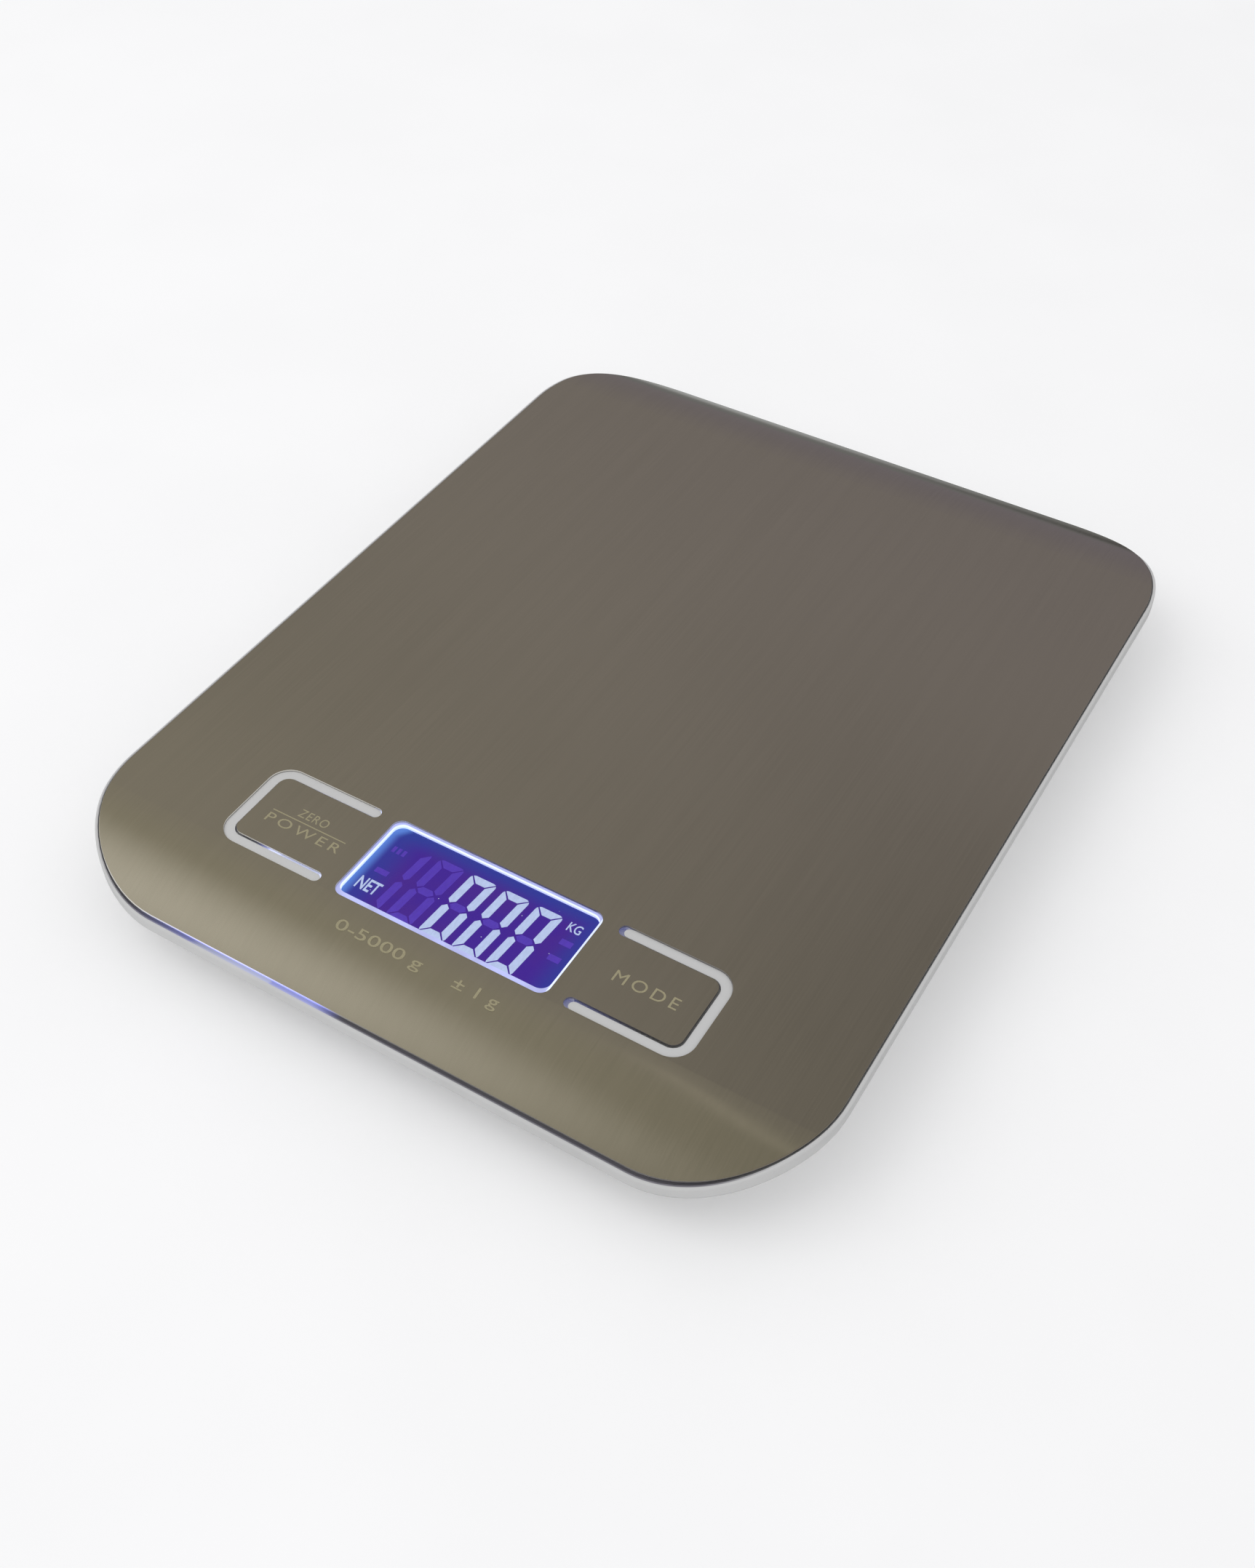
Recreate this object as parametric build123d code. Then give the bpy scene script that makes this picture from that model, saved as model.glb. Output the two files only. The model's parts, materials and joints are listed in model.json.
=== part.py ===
from build123d import *
import os
from math import asin, cos, sin, sqrt

# Digital gram scale. Millimetres, +Z up, +Y away from the display end.
# Origin: on the table, under the middle of the weighing platform.

# ---- driving dimensions: outer form -------------------------------------------------
LENGTH = 180.0             # platform moulding along Y
WIDTH = 140.0              # platform moulding along X
HEIGHT = 16.0              # table to the flat weighing surface
CORNER_R = 24.5            # plan corners of the platform moulding
BEND_RUN = 16.5            # length in plan of the curved front and back ends of the sheet
BEND_DROP = 4.75           # how far the sheet falls over that length

SHEET_T = 0.4              # stainless sheet
SHEET_INSET = 0.8          # sheet edge inside the moulding's edge
SHEET_EDGE_R = 0.12        # deburred top edge of the sheet

# ---- platform moulding --------------------------------------------------------------
DECK_T = 1.5               # deck under the sheet
LIP_W = 0.55               # rim lip outside the sheet
LIP_BELOW_SHEET_TOP = 0.3
LIP_END_DROP = 5.3         # the lip falls a little more than the sheet does
RIM_H = 3.65               # rim height along the straight sides
SKIRT_T = 2.2
GROOVE_FLOOR = 1.1         # shadow groove round the sheet, below the sheet's top
SEAT_INSET = 1.7           # the sheet rests inside this line
RIM_BOTTOM_R = 1.2
RIM_TOP_R = 0.35
RIB_T = 1.2
DECK_RIBS = [              # x, y, length along x, length along y
    (-48, 0, RIB_T, 84),
    (48, 0, RIB_T, 84),
    (-40, 0, 40, RIB_T),
    (40, 0, 40, RIB_T),
    (0, -38, 90, RIB_T),
    (0, 38, 90, RIB_T),
]
RIB_TO_BRACKET = 0.1       # gap from the deck ribs down to the bracket
BRACKET_BOSS_R, BOARD_BOSS_R = 4.5, 2.4
MERGE = 0.2                # how far an added shape runs into the wall it grows from
PADS = [                   # double-sided film: x, y, length along x, length along y
    (-38, 10, 30, 90),
    (38, 10, 30, 90),
    (0, 50, 34, 24),
]
PAD_T = 0.15

# ---- display and keys ---------------------------------------------------------------
PANEL_Y = -63.1            # display and keys lie on one line across the platform
WINDOW_W, WINDOW_L, WINDOW_R = 41.4, 18.8, 1.9
SLOT_W = 2.2               # U-shaped slot that frees each key tongue
KEY_ROOT_X = 24.8          # where a tongue joins the sheet
KEY_END_X = 43.2           # free end of a tongue
KEY_W = 14.4               # tongue width along Y
KEY_CORNER_R = 1.9
KEY_POCKET_DEPTH = 1.0     # room under a tongue, below the sheet
RIB_TOP_DEPTH = 0.35       # white rib in a slot, below the sheet's top
RIB_INNER_GAP = 0.32       # from the tongue to the rib
RIB_OUTER_GAP = 0.1        # from the rib to the outer edge of the slot
RIB_END_GAP_LEFT, RIB_END_GAP_RIGHT = 0.2, 0.9     # from a rib's round end to the end of its slot
POCKET_END_ROOM = 0.4      # key pocket past the round ends of the slot
PLUNGER_X = 35.0
PLUNGER_R = 1.9
PLUNGER_FLANGE, PLUNGER_FLANGE_T = 9.0, 0.4
PLUNGER_TIP_W, PLUNGER_TIP_L, PLUNGER_TIP_H = 1.2, 2.4, 0.5
PLUNGER_GAP = 0.03         # free play above the switch stem
PLUNGER_HOLE_PLAY = 0.4

LIP_LEFT, LIP_RIGHT = 0.1, 0.5     # display frame showing inside the window
LIP_FRONT, LIP_BACK = 1.05, 0.1
FRAME_WALL = 0.6
FRAME_PLAY = 0.1           # round the frame in the deck
LCD_W, LCD_L, LCD_T = 44.0, 21.4, 2.2
LCD_TOP_DEPTH = 2.05       # display face below the sheet's top
LCD_PLAY = 0.1             # round the display in its frame
LCD_LEDGE = 1.2            # contact ledge along the back edge
LENS_T, LENS_PLAY = 0.8, 0.05
BACKLIGHT_W, BACKLIGHT_L, BACKLIGHT_T = 36.0, 17.2, 1.7
BACKLIGHT_X, BACKLIGHT_CORNER_R = 0.6, 0.5
CONNECTOR_T, CONNECTOR_L = 1.7, 41.0       # conductive rubber strips
LED_SIZE = (1.6, 3.0, 1.5)
LED_SPACING, LED_GAP = 8.0, 0.4

PCB_W, PCB_L, PCB_T = 100.0, 26.0, 1.2
PCB_TOP = 9.4
PCB_CORNER_R = 1.5
PCB_SCREW_X, PCB_SCREWS_Y = 46.5, (-71.5, -53.0)
CHIP_X, CHIP_DOME_R, CHIP_DOME_H = 10.0, 5.5, 1.4
BOARD_PARTS = [            # under the board: x, y from the middle, three sizes
    (-8, 0, 5.0, 3.0, 1.3),
    (-20, 5, 3.2, 1.6, 1.1),
    (-20, -5, 3.2, 1.6, 1.1),
    (25, -6, 2.0, 1.25, 0.6),
    (25, -2, 2.0, 1.25, 0.6),
    (25, 2, 2.0, 1.25, 0.6),
    (25, 6, 2.0, 1.25, 0.6),
]
SWITCH_SIDE, SWITCH_H = 6.0, 3.5
SWITCH_CORNER = 0.4
STEM_R, STEM_PLAY = 1.75, 0.08
STEM_OUT, STEM_IN = 0.7, 0.6           # stem above and inside the switch body
STEM_ROOM = 0.4            # under the stem

# ---- weighing cell and its fixings --------------------------------------------------
CELL_L, CELL_W, CELL_H = 60.0, 12.0, 6.0
CELL_BOTTOM = 4.4
CELL_HOLES_Y = (15.0, 25.0)      # from the middle, at each end
CELL_EYE_R, CELL_EYE_Y = 2.0, 5.0
CELL_SLIT = 1.2
GAUGE_W, GAUGE_L, GAUGE_T = 4.0, 5.0, 0.1
COAT_W, COAT_L, COAT_T, COAT_CORNER_R = 9.0, 19.0, 0.5, 2.0
SPACER_L, SPACER_T = 18.0, 1.2
BRACKET_W, BRACKET_L, BRACKET_T, BRACKET_CORNER_R = 64.0, 70.0, 1.2, 6.0
BRACKET_SCREW_X, BRACKET_SCREW_Y = 27.0, 28.0
BRACKET_CUT_X, BRACKET_CUT_W, BRACKET_CUT_L, BRACKET_CUT_R = 18.0, 12.0, 36.0, 4.0
M4_R, M3_R, TINY_R = 2.0, 1.5, 1.0
HOLE_PLAY = 0.03           # radius play of a screw in its hole
BOARD_SCREW = (TINY_R, 4.2, 2.0, 1.1)      # shank radius, length, head radius, head height
BRACKET_SCREW = (M3_R, 3.3, 2.8, 1.3)
LIVE_END_SCREW = (M4_R, 6.4, 3.6, 1.5)
DEAD_END_SCREW = (M4_R, 6.4, 3.6, 1.4)
BOARD_SCREW_HOLE = 3.2     # depth of a boss hole above the board
SCREW_ACCESS_R = 4.0       # room in the deck over the live end screws
STOP_GAP = 0.5             # overload stop below the live end of the cell
STOP_RECESS = 0.3          # its lower end, above the tray's bottom
STOP_SOCKET_R, STOP_SOCKET_DEPTH = 0.75, 1.2

# ---- base tray ----------------------------------------------------------------------
TRAY_BOTTOM = 1.0
FLOOR_T = 2.2
TRAY_WALL = 1.8
TRAY_TOP_INSET = 5.0
TRAY_FOOT_INSET = 15.0
TRAY_TOP_OFFSET = 3.4      # tray edge below the sheet's top
TRAY_CORNER_EXTRA = 4.0    # added to the plan corners before they are drawn in
HULL_STEPS = 4
TRAY_RIBS = [              # x, y, length along y, height
    (-30, -3, 80, 2.0),
    (30, -3, 80, 2.0),
    (-14, 36, 14, 1.0),
    (14, 36, 14, 1.0),
]
FOOT_R, FOOT_H, FOOT_X, FOOT_Y = 7.0, 1.8, 42.0, 62.0
FOOT_EDGE_R = 0.5
FOOT_PAD_R, FOOT_PAD_H = 8.2, 0.8      # thicker floor over a foot
STOP_BOSS_R, STOP_BOSS_H = 3.0, 0.4
SCREW_WELL_R, SCREW_WELL_DEPTH = 3.8, 1.6

# ---- batteries ----------------------------------------------------------------------
BATTERY_Y = 57.0           # middle of the compartment
BATTERY_R, BATTERY_LEN, NUB_R, NUB_LEN = 5.25, 43.7, 1.9, 0.8
BATTERY_EDGE_R = 0.5
BATTERY_PITCH = 10.7
BOX_X, BOX_Y = 50.5, 22.2
BOX_WALL, BOX_TOP = 1.2, 12.6
DOOR_X, DOOR_Y, DOOR_T = 55.0, 26.5, 1.4
DOOR_PLAY = 0.2
DOOR_PIN_R, DOOR_PIN_LEN = 0.5, 1.5
PIN_PLAY, PIN_END_PLAY = 0.06, 0.2
THUMB_W, THUMB_L, THUMB_DEPTH = 16.0, 6.0, 1.0     # finger notch at the door's free edge
LATCH_SLIT_X, LATCH_SLIT_W, LATCH_SLIT_L = 7.5, 0.8, 7.0
GRIP_FIRST, GRIP_PITCH, GRIP_ROWS = 1.6, 1.4, 4
GRIP_W, GRIP_L, GRIP_DEPTH = 10.0, 0.7, 0.35
CONTACT_T, CONTACT_REACH, DIMPLE_R = 0.3, 4.0, 1.5
SPRING_WIRE_R, SPRING_R, SPRING_TURNS, SPRING_CONE = 0.34, 3.4, 3.5, -14
SPRING_PLAY = 0.02

# ---- wires --------------------------------------------------------------------------
BATTERY_WIRE_R, BATTERY_WIRE_X, BATTERY_WIRE_PITCH = 0.55, -22.0, 1.6
BATTERY_WIRE_Z = 4.6       # height above the table along the tray's floor
BATTERY_WIRE_START_Z, BATTERY_WIRE_START_DY, BATTERY_WIRE_START_PITCH = 6.4, -9.0, 2.0
CELL_WIRE_R, CELL_WIRE_X, CELL_WIRE_PITCH = 0.35, 14.0, 1.2
CELL_WIRE_Z, CELL_WIRE_START_Z, CELL_WIRE_BEND_Z = 4.4, 7.4, 7.0
WIRE_TO_BOARD_Y = 11.0     # from the board's middle line to where the wires rise
WIRE_END_GAP = 0.05

# ---- derived positions --------------------------------------------------------------
SHEET_L = LENGTH - 2 * SHEET_INSET
BEND_START = SHEET_L / 2 - BEND_RUN
BEND_R = (BEND_RUN**2 + BEND_DROP**2) / (2 * BEND_DROP)
SHEET_UNDER = HEIGHT - SHEET_T
DECK_UNDER = SHEET_UNDER - DECK_T
LCD_TOP = HEIGHT - LCD_TOP_DEPTH
LCD_BOTTOM = LCD_TOP - LCD_T
FLOOR_TOP = TRAY_BOTTOM + FLOOR_T
CELL_TOP = CELL_BOTTOM + CELL_H
LIVE_END_Y = -sum(CELL_HOLES_Y) / 2
DEAD_END_Y = sum(CELL_HOLES_Y) / 2
BRACKET_BOTTOM = CELL_TOP + SPACER_T
BRACKET_TOP = BRACKET_BOTTOM + BRACKET_T
PCB_UNDER = PCB_TOP - PCB_T
SWITCH_TOP = PCB_TOP + SWITCH_H
STEM_TOP = SWITCH_TOP + STEM_OUT
DOOR_PIVOT_Y = BATTERY_Y + DOOR_Y / 2 - DOOR_T / 2
DOOR_PIVOT_Z = TRAY_BOTTOM + DOOR_T / 2
BATTERY_Z = TRAY_BOTTOM + DOOR_T + DOOR_PLAY + BATTERY_R
PCB_SCREWS = [(sx * PCB_SCREW_X, y) for sx in (-1, 1) for y in PCB_SCREWS_Y]
FEET = [(sx * FOOT_X, sy * FOOT_Y) for sx in (-1, 1) for sy in (-1, 1)]
BRACKET_SCREWS = [(sx * BRACKET_SCREW_X, sy * BRACKET_SCREW_Y) for sx in (-1, 1) for sy in (-1, 1)]
FAR = 60.0                 # reaches past everything
OVER = 1.0                 # how far a cut runs past the face it opens
TOUCHING = 0.01            # two outlines closer than this are the same


# ---- small helpers ------------------------------------------------------------------
def block(x, y, z_low, z_high, size_x, size_y):
    """An upright box by its middle in plan and its two heights."""
    middle = Pos(x, y, (z_low + z_high) / 2)
    return middle * Box(size_x, size_y, z_high - z_low)


def post(x, y, z_low, z_high, radius):
    """An upright cylinder by its two heights."""
    return Pos(x, y, (z_low + z_high) / 2) * Cylinder(radius, z_high - z_low)


def plan(inset, z_low, z_high):
    """The platform's plan outline, drawn in by inset, as an upright block."""
    outline = RectangleRounded(WIDTH - 2 * inset, LENGTH - 2 * inset, CORNER_R - inset)
    return Pos(0, 0, z_low) * extrude(outline, z_high - z_low)


def rounded_block(x, y, z_low, z_high, size_x, size_y, radius):
    """An upright block with rounded plan corners."""
    return Pos(x, y, z_low) * extrude(RectangleRounded(size_x, size_y, radius), z_high - z_low)


def below_arc(flat_z, radius):
    """All space below a surface that is flat in the middle and falls in an arc at both ends."""
    reach = BEND_RUN + 4 * OVER
    end = asin(reach / radius)

    def on_arc(side, angle):
        return (side * (BEND_START + radius * sin(angle)), flat_z - radius + radius * cos(angle))

    outline = Line((-BEND_START, flat_z), (BEND_START, flat_z))
    for side in (-1, 1):
        outline += ThreePointArc(on_arc(side, 0), on_arc(side, end / 2), on_arc(side, end))
        outline += Line(on_arc(side, end), (on_arc(side, end)[0], -FAR))
    outline += Line((on_arc(-1, end)[0], -FAR), (on_arc(1, end)[0], -FAR))
    return extrude(Plane.YZ * make_face(outline), WIDTH, both=True)


def below_sheet(depth):
    """All space more than depth below the sheet's top face, measured square to it."""
    return below_arc(HEIGHT - depth, BEND_R - depth)


def screw(x, y, z_seat, direction, size):
    """A pan-head screw with a cross recess. Its shank runs from z_seat towards direction."""
    radius, length, head_r, head_h = size
    shank = Cylinder(radius, length, align=(Align.CENTER, Align.CENTER, Align.MIN))
    head = Pos(0, 0, -head_h) * Cylinder(head_r, head_h, align=(Align.CENTER, Align.CENTER, Align.MIN))
    head = chamfer(head.edges().sort_by(Axis.Z)[0], head_h * 0.3)
    slot_w = head_r * 0.3
    recess = Box(head_r * 1.2, slot_w, head_h) + Box(slot_w, head_r * 1.2, head_h)
    body = shank + head - Pos(0, 0, -head_h) * recess
    turn = Rot(0, 0, 0) if direction > 0 else Rot(180, 0, 0)
    return Pos(x, y, z_seat) * turn * body


def solids_of(*shapes):
    """Several separate solids as one node."""
    return Compound(children=[solid for shape in shapes for solid in shape.solids()])


# ---- sheet and keys -----------------------------------------------------------------
def key_outline(side, grow, height_low, height_high, radius):
    """A block over a key tongue, grown all round, whose inner end stays square at the root."""
    length = KEY_END_X - KEY_ROOT_X + grow
    width = KEY_W + 2 * grow
    full = rounded_block(side * KEY_ROOT_X, PANEL_Y, height_low, height_high, 2 * length, width, radius)
    outer_half = block(side * (KEY_ROOT_X + FAR / 2), PANEL_Y, height_low, height_high, FAR, FAR)
    return full & outer_half


def key_slot(side):
    """What the sheet loses for one key: tongue, U-shaped slot and its two round ends."""
    low, high = SHEET_UNDER - OVER, HEIGHT + OVER
    cut = key_outline(side, SLOT_W, low, high, KEY_CORNER_R + SLOT_W)
    for end in (-1, 1):
        y = PANEL_Y + end * (KEY_W + SLOT_W) / 2
        cut += post(side * KEY_ROOT_X, y, low, high, SLOT_W / 2)
    return cut


def platform_sheet():
    """Stainless weighing sheet, bent down at both ends, with display window and key slots."""
    sheet = (plan(SHEET_INSET, 0, HEIGHT + OVER) & below_sheet(0)) - below_sheet(SHEET_T)
    top_edges = [e for e in sheet.edges() if e.center().Z > outline_mid_z(e)]
    sheet = fillet(top_edges, SHEET_EDGE_R)
    sheet -= rounded_block(0, PANEL_Y, 0, FAR, WINDOW_W, WINDOW_L, WINDOW_R)
    for side in (-1, 1):
        sheet -= key_slot(side)
    return sheet


def outline_mid_z(edge):
    """Height halfway through the sheet at an edge's middle."""
    y = abs(edge.center().Y)
    fall = max(0.0, y - BEND_START)
    return HEIGHT - SHEET_T / 2 - (BEND_R - sqrt(BEND_R**2 - fall**2))


def key_tongue(side):
    """The part of the sheet that bends under the finger."""
    return key_outline(side, 0, SHEET_UNDER, HEIGHT, KEY_CORNER_R)


def key_plunger(side):
    """Glued under a tongue, it reaches through the deck to the switch stem."""
    x = side * PLUNGER_X
    flange_low = SHEET_UNDER - PLUNGER_FLANGE_T
    tip_low, tip_high = STEM_TOP + PLUNGER_GAP, STEM_TOP + PLUNGER_TIP_H
    flange = block(x, PANEL_Y, flange_low, SHEET_UNDER, PLUNGER_FLANGE, PLUNGER_FLANGE)
    column = post(x, PANEL_Y, tip_high, flange_low, PLUNGER_R)
    tip = block(x, PANEL_Y, tip_low, tip_high, PLUNGER_TIP_W, PLUNGER_TIP_L)
    return flange + column + tip


# ---- platform moulding --------------------------------------------------------------
def rim_shell():
    """Outer block of the moulding between the lip and the lower edge of the rim."""
    lip_z = HEIGHT - LIP_BELOW_SHEET_TOP
    lip_run = LENGTH / 2 - LIP_W - BEND_START
    lip_r = (lip_run**2 + LIP_END_DROP**2) / (2 * LIP_END_DROP)
    shell = plan(0, 0, HEIGHT) & below_arc(lip_z, lip_r)
    shell -= below_sheet(LIP_BELOW_SHEET_TOP + RIM_H)
    outer = [e for e in shell.edges() if is_outline(e)]
    lower = [e for e in outer if e.center().Z < rim_middle_z(e)]
    shell = fillet(lower, RIM_BOTTOM_R)
    upper = [e for e in shell.edges() if is_outline(e) and e.center().Z > rim_middle_z(e)]
    return fillet(upper, RIM_TOP_R)


def is_outline(edge):
    """True for an edge that runs along the moulding's outer wall rather than up it."""
    middle = edge @ 0.5
    inner_x, inner_y = WIDTH / 2 - CORNER_R, LENGTH / 2 - CORNER_R
    dx, dy = max(0.0, abs(middle.X) - inner_x), max(0.0, abs(middle.Y) - inner_y)
    on_wall = abs(sqrt(dx**2 + dy**2) - CORNER_R) < TOUCHING
    upright = abs((edge % 0.5).Z) > 0.9
    return on_wall and not upright


def rim_middle_z(edge):
    """Height halfway down the rim at an edge's middle."""
    return outline_mid_z(edge) - LIP_BELOW_SHEET_TOP - RIM_H / 2


def key_pocket(side):
    """Space under a tongue and round the ends of its rib."""
    floor = SHEET_UNDER - KEY_POCKET_DEPTH
    pocket = key_outline(side, RIB_INNER_GAP, floor, HEIGHT, KEY_CORNER_R + RIB_INNER_GAP)
    inner, outer = KEY_ROOT_X - SLOT_W / 2 - POCKET_END_ROOM, KEY_ROOT_X + OVER
    for end in (-1, 1):
        y = PANEL_Y + end * (KEY_W + SLOT_W) / 2
        pocket += block(side * (inner + outer) / 2, y, floor, HEIGHT, outer - inner, SLOT_W)
    return pocket


def key_rib(side):
    """U-shaped rib that fills the slot, with round ends."""
    top = HEIGHT - RIB_TOP_DEPTH
    floor = SHEET_UNDER - KEY_POCKET_DEPTH
    outer_grow = SLOT_W - RIB_OUTER_GAP
    half = (outer_grow - RIB_INNER_GAP) / 2
    end_gap = RIB_END_GAP_LEFT if side < 0 else RIB_END_GAP_RIGHT
    end_x = KEY_ROOT_X - SLOT_W / 2 + end_gap + half
    rib = key_outline(side, outer_grow, floor, top, KEY_CORNER_R + outer_grow)
    rib -= key_outline(side, RIB_INNER_GAP, floor, top, KEY_CORNER_R + RIB_INNER_GAP)
    rib &= block(side * (end_x + FAR / 2), PANEL_Y, floor, top, FAR, FAR)
    for end in (-1, 1):
        y = PANEL_Y + end * (KEY_W / 2 + RIB_INNER_GAP + half)
        rib += post(side * end_x, y, floor, top, half)
    return rib


def deck_openings():
    """Everything that is cut down through the deck."""
    low = DECK_UNDER - OVER
    frame_x, frame_y = frame_size()
    cuts = [block(0, PANEL_Y, low, HEIGHT, frame_x + 2 * FRAME_PLAY, frame_y + 2 * FRAME_PLAY)]
    for side in (-1, 1):
        cuts.append(key_pocket(side))
        cuts.append(post(side * PLUNGER_X, PANEL_Y, low, HEIGHT, PLUNGER_R + PLUNGER_HOLE_PLAY))
    for y in CELL_HOLES_Y:
        cuts.append(post(0, -y, low, HEIGHT, SCREW_ACCESS_R))
    for x, y in BRACKET_SCREWS:
        cuts.append(post(x, y, BRACKET_TOP - OVER, DECK_UNDER + OVER, M3_R + HOLE_PLAY))
    for x, y in PCB_SCREWS:
        cuts.append(post(x, y, PCB_TOP - OVER, PCB_TOP + BOARD_SCREW_HOLE, TINY_R + HOLE_PLAY))
    cuts.append(adhesive_pads())
    return cuts


def deck_supports():
    """Ribs, bosses and pads that hang from the deck."""
    top = DECK_UNDER + MERGE
    adds = []
    for x, y in BRACKET_SCREWS:
        adds.append(post(x, y, BRACKET_TOP, top, BRACKET_BOSS_R))
    for x, y in PCB_SCREWS:
        adds.append(post(x, y, PCB_TOP, top, BOARD_BOSS_R))
    for x, y, size_x, size_y in DECK_RIBS:
        adds.append(block(x, y, BRACKET_TOP + RIB_TO_BRACKET, top, size_x, size_y))
    return adds


def upper_housing():
    """White platform moulding: rim, deck, key pockets, ribs and bosses."""
    body = rim_shell()
    body -= plan(LIP_W, 0, FAR) - below_sheet(GROOVE_FLOOR)
    body += (plan(SEAT_INSET, 0, FAR) & below_sheet(SHEET_T)) - below_sheet(SHEET_T + DECK_T)
    body -= plan(SKIRT_T, 0, FAR) & below_sheet(SHEET_T + DECK_T)
    for shape in deck_supports():
        body += shape
    for shape in deck_openings():
        body -= shape
    for side in (-1, 1):
        body += key_rib(side)
    return body


def adhesive_pads():
    """Double-sided film in shallow recesses of the deck, under the sheet."""
    low = SHEET_UNDER - PAD_T
    return solids_of(*[block(x, y, low, SHEET_UNDER, size_x, size_y) for x, y, size_x, size_y in PADS])


# ---- display ------------------------------------------------------------------------
def frame_size():
    """Outer size of the display frame in plan."""
    around = 2 * (LCD_PLAY + FRAME_WALL)
    return LCD_W + around, LCD_L + around


def aperture(z_low, z_high, play):
    """The display frame's clear opening, as a block."""
    size_x = WINDOW_W - LIP_LEFT - LIP_RIGHT - 2 * play
    size_y = WINDOW_L - LIP_FRONT - LIP_BACK - 2 * play
    x = (LIP_LEFT - LIP_RIGHT) / 2
    y = PANEL_Y + (LIP_FRONT - LIP_BACK) / 2
    return rounded_block(x, y, z_low, z_high, size_x, size_y, WINDOW_R - play)


def display_frame():
    """Translucent frame that lines the window and holds the display on the board."""
    size_x, size_y = frame_size()
    frame = block(0, PANEL_Y, PCB_TOP, SHEET_UNDER, size_x, size_y)
    frame -= aperture(PCB_TOP, HEIGHT, 0)
    inner_x, inner_y = LCD_W + 2 * LCD_PLAY, LCD_L + 2 * LCD_PLAY
    frame -= block(0, PANEL_Y, PCB_TOP - OVER, LCD_TOP, inner_x, inner_y)
    return frame & below_sheet(SHEET_T)


def display_window():
    """Clear cover over the display."""
    return aperture(LCD_TOP, LCD_TOP + LENS_T, LENS_PLAY)


def lcd_panel():
    """Display cell with its contact ledge along the back edge."""
    panel = block(0, PANEL_Y, LCD_BOTTOM, LCD_TOP, LCD_W, LCD_L)
    ledge_low = LCD_TOP - LCD_T / 2
    ledge = block(0, PANEL_Y + LCD_L / 2, ledge_low, HEIGHT, LCD_W, 2 * LCD_LEDGE)
    return panel - ledge


def backlight_guide():
    """Acrylic light guide behind the display."""
    low = LCD_BOTTOM - BACKLIGHT_T
    guide = block(BACKLIGHT_X, PANEL_Y, low, LCD_BOTTOM, BACKLIGHT_W, BACKLIGHT_L)
    return fillet(guide.edges().filter_by(Axis.Z), BACKLIGHT_CORNER_R)


def backlight_leds():
    """Two side-firing lamps at the left end of the light guide."""
    size_x, size_y, size_z = LED_SIZE
    x = BACKLIGHT_X - BACKLIGHT_W / 2 - LED_GAP - size_x / 2
    lamps = [
        block(x, PANEL_Y + side * LED_SPACING / 2, PCB_TOP, PCB_TOP + size_z, size_x, size_y)
        for side in (-1, 1)
    ]
    return solids_of(*lamps)


def elastomer_connectors():
    """Conductive rubber strips from the board up to the display's contacts."""
    y = LCD_L / 2 - CONNECTOR_T / 2
    strips = [
        block(0, PANEL_Y + side * y, PCB_TOP, LCD_BOTTOM, CONNECTOR_L, CONNECTOR_T) for side in (-1, 1)
    ]
    return solids_of(*strips)


# ---- circuit board and switches -----------------------------------------------------
def circuit_board():
    """Main board, screwed to bosses under the deck."""
    board = rounded_block(0, PANEL_Y, PCB_UNDER, PCB_TOP, PCB_W, PCB_L, PCB_CORNER_R)
    for x, y in PCB_SCREWS:
        board -= post(x, y, 0, HEIGHT, TINY_R + HOLE_PLAY)
    return board


def chip_cover():
    """Domed resin over the bare measuring chip, under the board."""
    low = PCB_UNDER - CHIP_DOME_H
    ball_r = (CHIP_DOME_R**2 + CHIP_DOME_H**2) / (2 * CHIP_DOME_H)
    ball = Pos(CHIP_X, PANEL_Y, low + ball_r) * Sphere(ball_r)
    return ball & block(CHIP_X, PANEL_Y, low - OVER, PCB_UNDER, 2 * ball_r, 2 * ball_r)


def board_parts():
    """Crystal, capacitors and resistors under the board."""
    parts = [
        block(x, PANEL_Y + dy, PCB_UNDER - height, PCB_UNDER, size_x, size_y)
        for x, dy, size_x, size_y, height in BOARD_PARTS
    ]
    return solids_of(*parts)


def switch_bodies():
    """Two push switches on the board, open at the top for their stems."""
    bodies = []
    for side in (-1, 1):
        x = side * PLUNGER_X
        body = block(x, PANEL_Y, PCB_TOP, SWITCH_TOP, SWITCH_SIDE, SWITCH_SIDE)
        body = chamfer(body.edges().filter_by(Axis.Z), SWITCH_CORNER)
        well_low = SWITCH_TOP - STEM_IN - STEM_ROOM
        body -= post(x, PANEL_Y, well_low, HEIGHT, STEM_R + STEM_PLAY)
        bodies.append(body)
    return solids_of(*bodies)


def switch_stem(side):
    """The plug of a push switch that goes down under the plunger."""
    return post(side * PLUNGER_X, PANEL_Y, SWITCH_TOP - STEM_IN, STEM_TOP, STEM_R)


def board_screws():
    """Four self-tapping screws that hold the board from below."""
    return solids_of(*[screw(x, y, PCB_UNDER, 1, BOARD_SCREW) for x, y in PCB_SCREWS])


# ---- weighing cell ------------------------------------------------------------------
def load_cell():
    """Aluminium beam with a two-eyed cut that lets it bend in the middle."""
    beam = block(0, 0, CELL_BOTTOM, CELL_TOP, CELL_W, CELL_L)
    middle_z = (CELL_BOTTOM + CELL_TOP) / 2
    eye = Rot(0, 90, 0) * Cylinder(CELL_EYE_R, 2 * CELL_W)
    for side in (-1, 1):
        beam -= Pos(0, side * CELL_EYE_Y, middle_z) * eye
        for y in CELL_HOLES_Y:
            beam -= post(0, side * y, 0, HEIGHT, M4_R + HOLE_PLAY)
    return beam - Pos(0, 0, middle_z) * Box(2 * CELL_W, 2 * CELL_EYE_Y, CELL_SLIT)


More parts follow.
